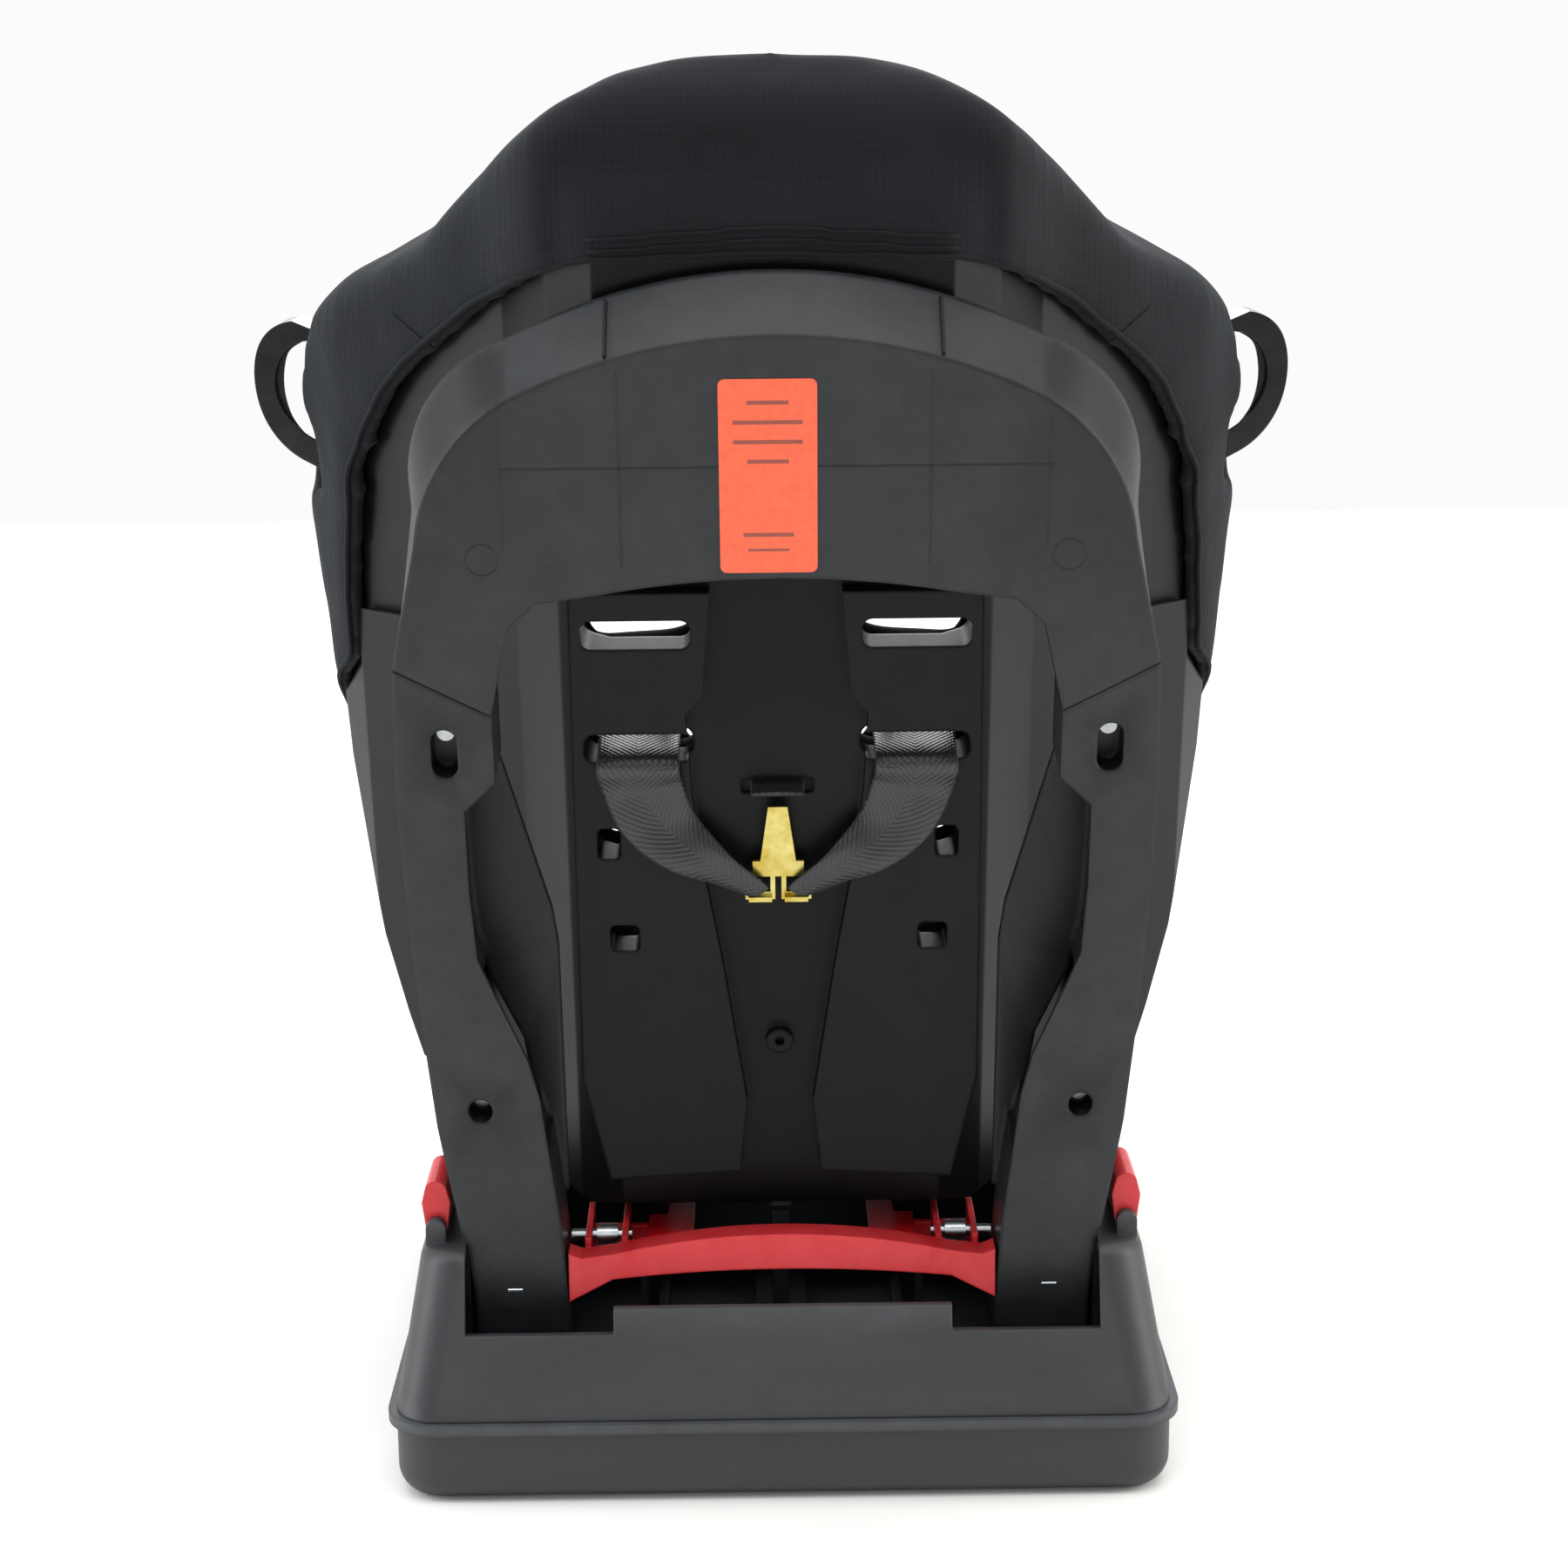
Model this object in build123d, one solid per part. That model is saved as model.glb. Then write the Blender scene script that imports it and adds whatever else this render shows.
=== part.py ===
from build123d import *
import os
from math import cos, sin, radians, degrees, atan, sqrt

# Convertible child car seat: a padded bucket that reclines on a plastic base
# with a tall rear support frame. Millimetres, +Z up, origin on the ground
# under the middle of the base. The child faces -Y; +X is the child's left.

os.makedirs("parts", exist_ok=True)

# ---- driving dimensions ---------------------------------------------------
gap = 0.4                   # clearance between neighbouring fixed pieces
run_gap = 0.3               # clearance between pieces that slide on each other
wall = 4.0                  # moulded wall of the base and frame

base_width = 379.0          # across the lower tray
base_depth = 402.0          # front to back of the lower tray
base_corner = 22.0          # corner radius of the tray in plan
tray_edge = 14.0            # radius round the bottom of the tray
tray_height = 38.0          # ground to the rim flange
rim_height = 5.0            # thickness of the rim flange
rim_overhang = 4.0          # how far the flange stands proud of the tray
base_height = 121.0         # ground to the top of the side cheeks
base_top_width = 352.0      # across the cheeks at the top
base_top_depth = 356.0      # front to back of the housing at the top
well_half_width = 154.0     # inside of the cheeks, where the bucket sits
rear_sill_height = 95.0     # top of the rear wall between the legs
notch_height = 83.0         # bottom of the notches that the legs pass through
notch_inner = 82.0          # inner side of each notch
front_wall_thick = 12.0     # solid part of the front wall at the top

frame_lean = degrees(atan(0.2))   # the rear frame leans back by this
frame_foot_y = 145.0        # rear face of the frame where it meets the ground plane
leg_depth = 40.0            # front to back of a leg
arch_depth = 32.0           # front to back of the top arch
seam_outer_w = 428.0        # height of the leg and arch joint at the outside, along the frame
seam_inner_w = 405.0        # the same at the inside

axis_y, axis_z = 120.0, 640.0     # recline axis, parallel to X
recline_range = 12.0              # degrees
shell_wall = 8.0                  # bucket wall with its ribs
cover_thick = 7.0                 # fabric and wadding over the outside
floor_height, floor_slope = 143.0, 0.11   # inner floor of the bucket under the recline axis
liner_thick = 18.0                # padding inside the bucket

strap_width, strap_thick = 38.0, 2.0
slot_width, slot_height = 50.0, 14.0
slot_x = 64.0                     # middle of each harness slot
slot_rows = (431.0, 376.0)        # height of the two rows of slots

rail_radius = 545.0               # middle of the curved rail's head
rail_x = 70.0                     # middle of each rail
rail_head_width, rail_head_thick = 16.0, 8.0
rail_web = 4.0

sides = (("left", 1), ("right", -1))


# ---- helpers --------------------------------------------------------------
def save(name, shape):
    if isinstance(shape, (list, ShapeList)):
        shape = Compound(children=list(shape))
    export_step(shape, f"parts/{name}.step")


def box(x0, x1, y0, y1, z0, z1):
    size = (abs(x1 - x0), abs(y1 - y0), abs(z1 - z0))
    centre = ((x0 + x1) / 2, (y0 + y1) / 2, (z0 + z1) / 2)
    return Pos(*centre) * Box(*size)


def mirrored(shape, side):
    """The same shape for the other hand: side is 1 or -1."""
    return shape if side > 0 else shape.mirror(Plane.YZ)


def face_of(points):
    """A flat face inside a closed polyline."""
    return make_face(Polyline(*points, close=True))


def side_prism(face, half_width):
    """Extrudes a (Y, Z) outline along X, evenly both ways."""
    return extrude(Plane.YZ * face, half_width, both=True)


def front_prism(face, y_low, y_high):
    """Extrudes an (X, Z) outline along Y between two places."""
    plane = Plane(origin=(0, y_high, 0), x_dir=(1, 0, 0), z_dir=(0, -1, 0))
    return extrude(plane * face, y_high - y_low)


def plan_prism(face, z_low, z_high):
    """Extrudes an (X, Y) outline along Z between two heights."""
    return extrude(Pos(0, 0, z_low) * face, z_high - z_low)


def leaned(shape):
    """From frame coordinates (rear face at Y 0, Z along the frame) to the model."""
    return Pos(0, frame_foot_y, 0) * Rot(-frame_lean, 0, 0) * shape


def frame_point(x, w, n):
    """A point given by X, distance along the frame and distance behind its rear face."""
    a = radians(frame_lean)
    return (x, frame_foot_y + w * sin(a) + n * cos(a), w * cos(a) - n * sin(a))


def frame_height(z, n=0.0):
    """Distance along the frame of a height above the ground."""
    a = radians(frame_lean)
    return (z + n * sin(a)) / cos(a)


def around_axis(x0, x1, r0, r1, low_deg, high_deg):
    """A block swept about the recline axis; angles are from straight down, + to the rear."""
    profile = Plane.XZ * Pos((x0 + x1) / 2, -(r0 + r1) / 2) * Rectangle(x1 - x0, r1 - r0)
    swept = revolve(profile, Axis.X, high_deg - low_deg)
    return Pos(0, axis_y, axis_z) * Rot(low_deg, 0, 0) * swept


def bar_between(a, b, width, thick):
    """A straight flat bar from point a to point b; its width runs close to X."""
    a, b = Vector(*a), Vector(*b)
    plane = Plane(origin=a, x_dir=(1, 0, 0), z_dir=b - a)
    return extrude(plane * Rectangle(width, thick), (b - a).length)


# ---- bucket volumes -------------------------------------------------------
# The bucket is the common part of three prisms: its side profile, its front
# outline and its plan, which leans with the back. Each can be grown or shrunk.
bucket_side = [(131.5, 128), (229.5, 618), (220, 662), (196, 677), (156, 668), (28, 578),
               (6, 548), (18, 430), (-50, 340), (-150, 288), (-214, 238), (-248, 192),
               (-242, 162), (-200, 150), (0, 135), (110, 121)]
bucket_front = [(0, 120), (96, 124), (140, 141), (178, 168), (188, 200), (199, 243), (212, 338),
                (215, 392), (220, 438), (225, 480), (225, 518), (222, 542), (214, 560), (198, 575),
                (156, 597), (130, 620), (108, 640), (88, 656), (64, 668), (34, 675), (0, 677)]
bucket_plan = [(0, -38), (78, -38), (100, -54), (122, -86), (164, -124), (202, -158), (225, -200), (225, -560)]


def whole_outline(half):
    """Both halves of a symmetric outline, from its right half."""
    return [*half, *[(-x, y) for x, y in reversed(half) if x > 0]]


def grown(face, by):
    return offset(face, amount=by, kind=Kind.INTERSECTION) if by else face


def bucket_solid(by):
    side = side_prism(grown(face_of(bucket_side), by), 300)
    front = front_prism(grown(face_of(whole_outline(bucket_front)), by), -400, 400)
    plan = leaned(plan_prism(grown(face_of(whole_outline(bucket_plan)), by), -100, 800))
    return side & front & plan


def back_line(by, z):
    """Y of the bucket's inner back at a height, pushed toward the child by an amount."""
    (low_y, low_z), (high_y, high_z) = bucket_side[0], bucket_side[1]
    slope = (high_y - low_y) / (high_z - low_z)
    return low_y + slope * (z - low_z) - (shell_wall + by) * sqrt(1 + slope ** 2)


def floor_line(by, y):
    """Z of the bucket's inner floor at a place, raised by an amount."""
    return floor_height + by - floor_slope * y


def bucket_hollow(by):
    """The room inside the bucket, less an amount all round; it is open in front."""
    inset = shell_wall + by
    rear_z = floor_line(by, back_line(by, floor_height))
    roof = [(back_line(by, 610), 610), (220 - inset * 1.1, 662 - inset), (196 - inset * 0.4, 677 - inset), (150, 900)]
    side = side_prism(face_of([(back_line(by, rear_z), rear_z), *roof,
                               (-500, 900), (-500, floor_line(by, -500))]), 300)
    front = front_prism(grown(face_of(whole_outline(bucket_front)), -inset), -500, 500)
    plan = leaned(plan_prism(grown(face_of(whole_outline(bucket_plan)), -inset), -100, 800))
    return side & front & plan


# The fabric ends at this line in the side view; below it the plastic shows.
hem_line = [(300, 602), (222, 597), (165, 577), (122, 545), (96, 500), (80, 450), (64, 392),
            (-56, 304), (-150, 256), (-232, 200), (-300, 165)]


def above_hem(shift):
    points = [(y, z + shift) for y, z in hem_line]
    return side_prism(face_of([*points, (-400, 165), (-400, 900), (300, 900)]), 320)


# ---- base -----------------------------------------------------------------
def rounded_plate(width, depth, corner, z):
    return Pos(0, 0, z) * RectangleRounded(width, depth, corner)


def make_base_tray():
    body = extrude(rounded_plate(base_width, base_depth, base_corner, 0), tray_height)
    body = fillet(body.faces().sort_by(Axis.Z)[0].edges(), tray_edge)
    inside = extrude(rounded_plate(base_width - 2 * wall, base_depth - 2 * wall,
                                   base_corner - wall, wall), tray_height + rim_height)
    inside = fillet(inside.faces().sort_by(Axis.Z)[0].edges(), tray_edge - wall)
    flange = extrude(rounded_plate(base_width + 2 * rim_overhang, base_depth + 2 * rim_overhang,
                                   base_corner + rim_overhang, tray_height), rim_height)
    return body + flange - inside


def housing_loft(inset, top):
    low = rounded_plate(base_width - 2 * inset, base_depth - 2 * inset, base_corner - inset / 2,
                        tray_height + rim_height)
    high = rounded_plate(base_top_width - 2 * inset, base_top_depth - 2 * inset,
                         base_corner - inset / 2, top)
    return loft([low, high])


def make_base_housing():
    floor = tray_height + rim_height
    outer = housing_loft(0, base_height)
    outer = fillet(outer.faces().sort_by(Axis.Z)[-1].edges(), 9)
    hollow = housing_loft(wall, base_height) & box(-300, 300, -300, 300, 0, base_height - wall)
    body = outer - hollow
    for _, s in sides:
        cheek_wall = box(s * well_half_width, s * (well_half_width + wall), -150, 150, floor, base_height - wall)
        body += cheek_wall & hollow
    front_edge = -base_top_depth / 2 + front_wall_thick
    body -= box(-well_half_width, well_half_width, front_edge, 150, floor, base_height + 5)
    body -= box(-well_half_width, well_half_width, 140, 260, rear_sill_height, base_height + 5)
    for _, s in sides:
        body -= box(s * notch_inner, s * well_half_width, 140, 260, notch_height, base_height + 5)
    body -= box(-90, 90, -260, front_edge + 5, 108, base_height + 5)
    for _, s in sides:
        for shape in make_clamp_mounts():
            body += mirrored(shape, s)
    return body


# ---- rear frame -----------------------------------------------------------
leg_outer = [(150, -10), (150.5, 92), (153, 124), (155.5, 132), (160, 162), (164, 192), (167.5, 237),
             (170, 278), (172, 323), (173, 368), (171, seam_outer_w)]
leg_inner = [(128, seam_inner_w), (128, 372), (142.5, 358), (142.5, 318), (140.5, 281), (134.5, 265),
             (119.5, 227), (114.5, 205), (110.5, 165), (107, 133), (105, 92), (105, -10)]
leg_web = [(129, 371), (126, 360), (116, 322), (107.5, 290), (105, 270), (105, 133), (112, 133),
           (124, 220), (139, 255), (146, 290), (148, 371)]
leg_slots = ((150, 387, 12, 24), (143, 200, 11.5, 13))     # X, along the frame, width, height


def make_leg():
    outline = face_of([*leg_outer, *leg_inner])
    body = front_prism(outline, -leg_depth, 0)
    inside = front_prism(grown(outline, -wall), -leg_depth - 1, -wall)
    web = front_prism(face_of(leg_web), -leg_depth, -leg_depth + wall)
    window = front_prism(face_of([(100, 176), (114, 176), (123, 220), (138, 262), (144, 282), (146, 320),
                                  (146, 354), (130, 366), (100, 366)]), -leg_depth + wall, -wall)
    body = body - inside - window + web
    for x, w, width, height in leg_slots:
        radius = width / 2
        recess = SlotCenterToCenter(max(height - width, 0.5), width, rotation=90)
        boss = front_prism(Pos(x, w) * Rectangle(width + 6, height + 6), -leg_depth, -wall) & \
            front_prism(grown(outline, -0.5), -leg_depth, 0)
        body = body + boss - front_prism(Pos(x, w) * recess, -14, 1)
        body -= Pos(x, -14, w + height / 2 - radius) * Rot(90, 0, 0) * Cylinder(2.2, 60)
    standing = leaned(body) - box(-300, 300, -300, 400, -60, wall)
    return standing


def make_leg_screws():
    screws = []
    for _, s in sides:
        for x, w, width, height in leg_slots:
            top = w + height / 2 - width / 2
            head = Pos(x, -14 + 1.5, top) * Rot(90, 0, 0) * Cylinder(4.0, 3)
            shank = Pos(x, -14 - 11, top) * Rot(90, 0, 0) * Cylinder(2.0, 22)
            screws.append(mirrored(leaned(head + shank), s))
    return screws


arch_side, arch_corner, arch_shoulder, arch_crown = (158, 487), (142, 528), (115, 552), 580


def arch_face(grow):
    """Outline of the arch, bigger toward the front, over a cut-out for the bucket's back."""
    side_x, side_w = arch_side
    side_point = (side_x + grow * 0.15, side_w + grow * 0.45)
    corner = (arch_corner[0] + grow * 0.5, arch_corner[1] + grow * 0.75)
    shoulder = (arch_shoulder[0], arch_shoulder[1] + grow * 0.95)
    foot_out, foot_in = (171, seam_outer_w + 0.6), (128, seam_inner_w + 0.6)
    half = [Line(foot_out, side_point), ThreePointArc(side_point, corner, shoulder),
            Polyline(foot_out, foot_in, (119, 447), (106, 459), (78, 463))]
    edges = half + [edge.mirror(Plane.YZ) for edge in half]
    edges.append(ThreePointArc(shoulder, (0, arch_crown + grow), (-shoulder[0], shoulder[1])))
    edges.append(ThreePointArc((78, 463), (0, 470), (-78, 463)))
    return make_face(Curve() + edges)


def make_arch():
    plane_at = lambda n: Plane(origin=(0, n, 0), x_dir=(1, 0, 0), z_dir=(0, -1, 0))
    outer = loft([plane_at(0) * arch_face(0), plane_at(-arch_depth) * arch_face(20)], ruled=True)
    outer = outer - front_prism(Pos(0, 380) * Rectangle(216, 140), -60, 10)
    inner_outline = grown(arch_face(0), -wall)
    hollow = front_prism(inner_outline, -arch_depth - 1, -wall)
    ribs = [box(x - 1.2, x + 1.2, -arch_depth + 2, -wall, 470, 572) for x in (-92, -40, 40, 92)]
    ribs.append(box(-150, 150, -arch_depth + 2, -wall, 500, 502.4))
    body = outer - hollow + [r & front_prism(grown(arch_face(0), -1), -60, 0) for r in ribs]
    return leaned(body)


label_width, label_height, label_w = 42.5, 88.0, 517.0
label_thick = 0.4


def make_label():
    sheet = front_prism(Pos(3, label_w) * RectangleRounded(label_width, label_height, 3), 0, label_thick)
    return leaned(sheet)


# ---- things between the legs ----------------------------------------------
bridge_half = 104.5                # the flared ends stand just clear of the legs
bridge_y = 165.0                   # rear face of the bar
bridge_bar_half, bridge_bar_depth = 83.0, 14.0
bridge_front_y = 104.0             # front ends of the ribs
bridge_arm_top, bridge_arm_thick = 111.0, 4.0
bridge_ribs = (77.5, 95.5)         # X of the upright ribs on each side
rib_thick = 3.0
bridge_pin_radius, bridge_pin_y, bridge_pin_z = 3.0, 135.0, 113.0


def bridge_pin_at(x_low, x_high, radius):
    return Pos((x_low + x_high) / 2, bridge_pin_y, bridge_pin_z) * Rot(0, 90, 0) * Cylinder(radius, x_high - x_low)


def make_belt_bridge():
    """The red bracket between the legs: an arched bar with flared ends, two arms and four ribs."""
    bar_half, end = bridge_bar_half, bridge_half
    top = ThreePointArc((-bar_half, 114.5), (0, 124), (bar_half, 114.5))
    bottom = ThreePointArc((bar_half, 101.5), (0, 106), (-bar_half, 101.5))
    face = make_face(Curve() + [top, Polyline((bar_half, 114.5), (end - 6, 112.6), (end, 115), (end, 90), (bar_half, 101.5)),
                                bottom, Polyline((-bar_half, 101.5), (-end, 90), (-end, 115), (-end + 6, 112.6),
                                                 (-bar_half, 114.5))])
    body = front_prism(face, bridge_y - bridge_bar_depth, bridge_y)
    arm_z = (bridge_arm_top - bridge_arm_thick, bridge_arm_top)
    rear_y = bridge_y - bridge_bar_depth + 1
    for _, s in sides:
        body += box(s * 44, s * 57.5, 64, rear_y, *arm_z)
        body += box(s * 57, s * 67, bridge_front_y, rear_y, *arm_z)
        body += box(s * 60, s * (bridge_ribs[1] + rib_thick / 2), bridge_front_y + 11, bridge_front_y + 15, 100, arm_z[1])
        for x in bridge_ribs:
            body += box(s * (x - rib_thick / 2), s * (x + rib_thick / 2), bridge_front_y, rear_y, 101, 118)
        body -= mirrored(bridge_pin_at(bridge_ribs[0] - 5, bridge_half + 1, bridge_pin_radius + 0.05), s)
    return body


def make_bridge_pins():
    """A short steel pin through each pair of ribs, with a collar between them."""
    pin = bridge_pin_at(bridge_ribs[0] - rib_thick / 2 - 1.5, bridge_half - 0.1, bridge_pin_radius)
    inner, outer = bridge_ribs[0] + rib_thick / 2 + gap, bridge_ribs[1] - rib_thick / 2 - gap
    pin += bridge_pin_at(inner + 2, outer - 2, bridge_pin_radius + 2.2)
    return [mirrored(pin, s) for _, s in sides]


# ---- recline rails --------------------------------------------------------
rail_front_deg, rail_rear_deg = -21.0, -1.0


def make_rail(side):
    x = side * rail_x
    half_head, half_web = rail_head_width / 2, rail_web / 2
    r0, r1 = rail_radius - rail_head_thick / 2, rail_radius + rail_head_thick / 2
    head = around_axis(x - half_head, x + half_head, r0, r1, rail_front_deg, rail_rear_deg)
    y_front = axis_y + r1 * sin(radians(rail_front_deg))
    y_rear = axis_y + r1 * sin(radians(rail_rear_deg))
    web = box(x - half_web, x + half_web, y_front + 4, y_rear - 4, wall, 200)
    web &= around_axis(x - 20, x + 20, r1 - 1, r1 + 300, rail_front_deg - 3, rail_rear_deg + 3)
    foot = box(x - half_head, x + half_head, y_front + 4, y_rear - 4, wall, wall + 3)
    return head + web + foot


shoe_front_deg, shoe_rear_deg = -6.6, -2.2


def make_shoe(side):
    x = side * rail_x
    half = rail_head_width / 2
    r0, r1 = rail_radius - rail_head_thick / 2, rail_radius + rail_head_thick / 2
    block = around_axis(x - half - 4, x + half + 4, r0 - 30, r1 + 4, shoe_front_deg, shoe_rear_deg)
    block -= around_axis(x - half - run_gap, x + half + run_gap, r0 - run_gap, r1 + run_gap,
                         shoe_front_deg - 2, shoe_rear_deg + 2)
    block -= around_axis(x - rail_web / 2 - run_gap, x + rail_web / 2 + run_gap, r1 - 1, r1 + 10,
                         shoe_front_deg - 2, shoe_rear_deg + 2)
    return block - bucket_solid(gap)


rack_radius = 556.0
rack_front_deg, rack_rear_deg = -23.0, -5.0
rack_notches = 5
bolt_deg = -8.0                   # where the latch bolt stands when the seat is upright


def make_latch_rack():
    plate = around_axis(-4, 4, rack_radius, rack_radius + 14, rack_front_deg, rack_rear_deg)
    y_front = axis_y + rack_radius * sin(radians(rack_front_deg + 1))
    y_rear = axis_y + rack_radius * sin(radians(rack_rear_deg - 1))
    post = box(-4, 4, y_front, y_rear, wall, 200)
    post &= around_axis(-4, 4, rack_radius + 13, rack_radius + 300, rack_front_deg - 2, rack_rear_deg + 2)
    foot = box(-14, 14, y_front, y_rear, wall, wall + 4)
    rack = plate + post + foot
    for i in range(rack_notches):
        angle = bolt_deg - i * recline_range / (rack_notches - 1)
        rack -= around_axis(-6, 6, rack_radius - 1, rack_radius + 7, angle - 0.45, angle + 0.45)
    return rack


# ---- belt clamps on the cheeks --------------------------------------------
clamp_x, clamp_pin_z, clamp_pin_radius = 169.0, 128.0, 2.5
clamp_y0, clamp_y1 = 122.0, 158.0


def make_clamp_lever():
    face = make_face(Curve() + [ThreePointArc((-5.5, 0), (0, -5.5), (5.5, 0)), Polyline((5.5, 0), (7, 12), (5, 20)),
                                ThreePointArc((5, 20), (0, 23), (-5, 20)), Polyline((-5, 20), (-7, 12), (-5.5, 0))])
    body = front_prism(Pos(clamp_x, clamp_pin_z) * face, clamp_y0, clamp_y1)
    bore = Pos(clamp_x, (clamp_y0 + clamp_y1) / 2, clamp_pin_z) * Rot(90, 0, 0)
    body -= bore * Cylinder(clamp_pin_radius + 0.05, 80)
    return body


def make_clamp_mounts():
    """Two ears with a pin for each clamp, moulded on the top of the cheeks."""
    shapes = []
    for y in (clamp_y0 - 5 - run_gap, clamp_y1 + run_gap):
        ear = box(clamp_x - 5, clamp_x + 5, y, y + 5, base_height - 2, clamp_pin_z)
        shapes.append(ear + Pos(clamp_x, y + 2.5, clamp_pin_z) * Rot(90, 0, 0) * Cylinder(5, 5))
    pin_middle = Pos(clamp_x, (clamp_y0 + clamp_y1) / 2, clamp_pin_z) * Rot(90, 0, 0)
    shapes.append(pin_middle * Cylinder(clamp_pin_radius, clamp_y1 - clamp_y0 + 2))
    return shapes


# ---- seat body pieces -----------------------------------------------------
def slot_cutters(grow=0.0):
    """Cutters for the harness slots, hip slots and the yoke's opening in the back."""
    cutters = []
    for z in slot_rows:
        w = frame_height(z, -40)
        for _, s in sides:
            hole = Pos(s * slot_x, w) * RectangleRounded(slot_width + grow, slot_height + grow, 5)
            cutters.append(leaned(front_prism(hole, -110, -20)))
    for x, z, width, height in ((79, 328, 11, 16), (73, 279, 14, 14)):
        w = frame_height(z, -40)
        for _, s in sides:
            hole = Pos(s * x, w) * RectangleRounded(width + grow, height + grow, 3)
            cutters.append(leaned(front_prism(hole, -110, -20)))
    return cutters


yoke_slot_w = 352.0


crotch_y = -81.3                  # where the crotch strap goes through the floor
back_pad_half = [(40, 352), (36, 318), (27, 263), (16, 185), (20, 146), (84, 142), (96, 200),
                 (94, 452), (30, 452), (34, 400), (42, 392)]    # raised face beside the channel


def make_seat_shell():
    shell = bucket_solid(0) - bucket_hollow(0)
    for _, s in sides:
        raised = front_prism(face_of([(s * x, w) for x, w in back_pad_half]), -70, -30)
        shell += leaned(raised) - bucket_hollow(0)
    boss = Pos(0, -40, 217) * Rot(90, 0, 0) * (Cylinder(6.5, 12) - Cylinder(2.2, 14))
    shell += leaned(boss)
    shell -= slot_cutters()
    shell -= leaned(front_prism(Pos(0, yoke_slot_w) * RectangleRounded(34, 8, 2), -80, -20))
    shell -= box(-20, 20, crotch_y - 5, crotch_y + 5, 100, 200)
    return shell


def make_side_panel(side):
    skin = bucket_solid(5) - bucket_solid(gap)
    skin -= above_hem(-1.5)
    keep = box(side * 150, side * 300, -205, 104, 176, 420)
    return skin & keep


def make_seat_cover():
    skin = bucket_solid(cover_thick) - bucket_solid(gap)
    skin &= above_hem(0)
    skin -= bucket_hollow(0)
    for _, s in sides:
        for z0, z1 in ((538, 562), (481, 508)):
            skin -= box(s * 205, s * 245, guide_y - guide_deep / 2 - gap, guide_y + guide_deep / 2 + gap, z0, z1)
    return skin - box(-22 - gap, 22 + gap, -300, -240, 100, 215)


guide_y, guide_deep = 36.0, 34.0


guide_wall = 4.0                   # thickness of the guide's band
guide_lip, guide_lip_thick = 10.0, 3.0     # the rear edge turns inward by this much


def guide_outline(inset):
    """The curved side of a belt guide, moved inward by an amount."""
    points = [(235, 559.5), (250, 551), (254.5, 529), (246, 504), (231, 490.5)]
    return Spline(*[(x - inset, z + inset * (522 - z) / 38) for x, z in points])


def guide_band(inset):
    outer, inner = guide_outline(0), guide_outline(inset)
    closing = [Polyline(outer @ 1, (219, 484), (219, 484 + inset), inner @ 1),
               Polyline(inner @ 0, (215, 551 - inset), (215, 551), outer @ 0)]
    return make_face(Curve() + [outer, inner, *closing])


def make_belt_guide(side):
    """A stiff open loop on the wing that steers the shoulder part of a seat belt."""
    y_rear = guide_y + guide_deep / 2
    band = front_prism(guide_band(guide_wall), guide_y - guide_deep / 2, y_rear)
    lip = front_prism(guide_band(guide_lip), y_rear - guide_lip_thick, y_rear)
    return mirrored(band + lip - bucket_solid(gap), side)


def above_floor(by):
    return side_prism(face_of([(300, floor_line(by, 300)), (-500, floor_line(by, -500)),
                               (-500, 900), (300, 900)]), 320)


def ahead_of_back(by):
    """Everything nearer the child than the back's inner face, pushed in by an amount."""
    return side_prism(face_of([(back_line(by, 0), 0), (back_line(by, 900), 900), (-600, 900), (-600, 0)]), 320)


def cushion_cut(shape):
    """Trims a cushion to the bucket's mouth and lets the harness through it."""
    shape &= bucket_solid(0)
    shape -= adjuster_strap_room(gap)
    shape -= slot_cutters(2)
    shape -= box(-20, 20, crotch_y - 6, crotch_y + 6, 100, 220)
    for _, s in sides:
        shape -= front_strap_room(s)
    return shape - hip_strap_rooms()


head_split_z = 602.0


def make_seat_cushion():
    return cushion_cut(bucket_hollow(gap) - above_floor(liner_thick))


def make_back_cushion():
    layer = (bucket_hollow(gap) & above_floor(liner_thick + gap)) - ahead_of_back(liner_thick)
    return cushion_cut(layer)


def bolster_layer():
    layer = bucket_hollow(gap) & above_floor(liner_thick + gap) & ahead_of_back(liner_thick + gap)
    return layer - bucket_hollow(liner_thick)


def make_side_cushion(side):
    half = bolster_layer() & box(side * 2, side * 300, -400, 400, 100, head_split_z - gap)
    return cushion_cut(half)


def make_head_cushion():
    return cushion_cut(bolster_layer() & box(-300, 300, -400, 400, head_split_z, 900))


def make_adjuster_strap():
    """Webbing from the yoke's opening down the inside of the bucket to the front adjuster."""
    run = adjuster_strap_room(0)
    top = leaned(front_prism(Pos(0, yoke_slot_w) * Rectangle(25, strap_thick), -48, -28.6))
    return run + top


adjuster_route = [(-12.5, 300), (-12.5, 20), (16, -25), (16, -125), (-12.5, -170), (-12.5, -236),
                  (12.5, -236), (12.5, -170), (41, -125), (41, -25), (12.5, 20), (12.5, 300)]


def adjuster_strap_room(grow):
    strip = bucket_hollow(gap / 2) - bucket_hollow(gap / 2 + strap_thick + grow)
    top = frame_point(0, yoke_slot_w, -45)[2]
    route = plan_prism(grown(face_of(adjuster_route), grow), 100, top + 6 * grow)
    return strip & route


hip_strap_ends = (31, -47, 264), (104, 96, 201)


def hip_strap_rooms():
    start, end = Vector(*hip_strap_ends[0]), Vector(*hip_strap_ends[1])
    run = end - start
    return [mirrored(bar_between(start + run * 0.35, start + run * 1.08, 34, 8), s) for _, s in sides]


# seat parts that lie in the bucket
buckle_place = Pos(0, -70, 222) * Rot(-24, 0, 0)
buckle_size = (46, 24, 60)


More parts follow.
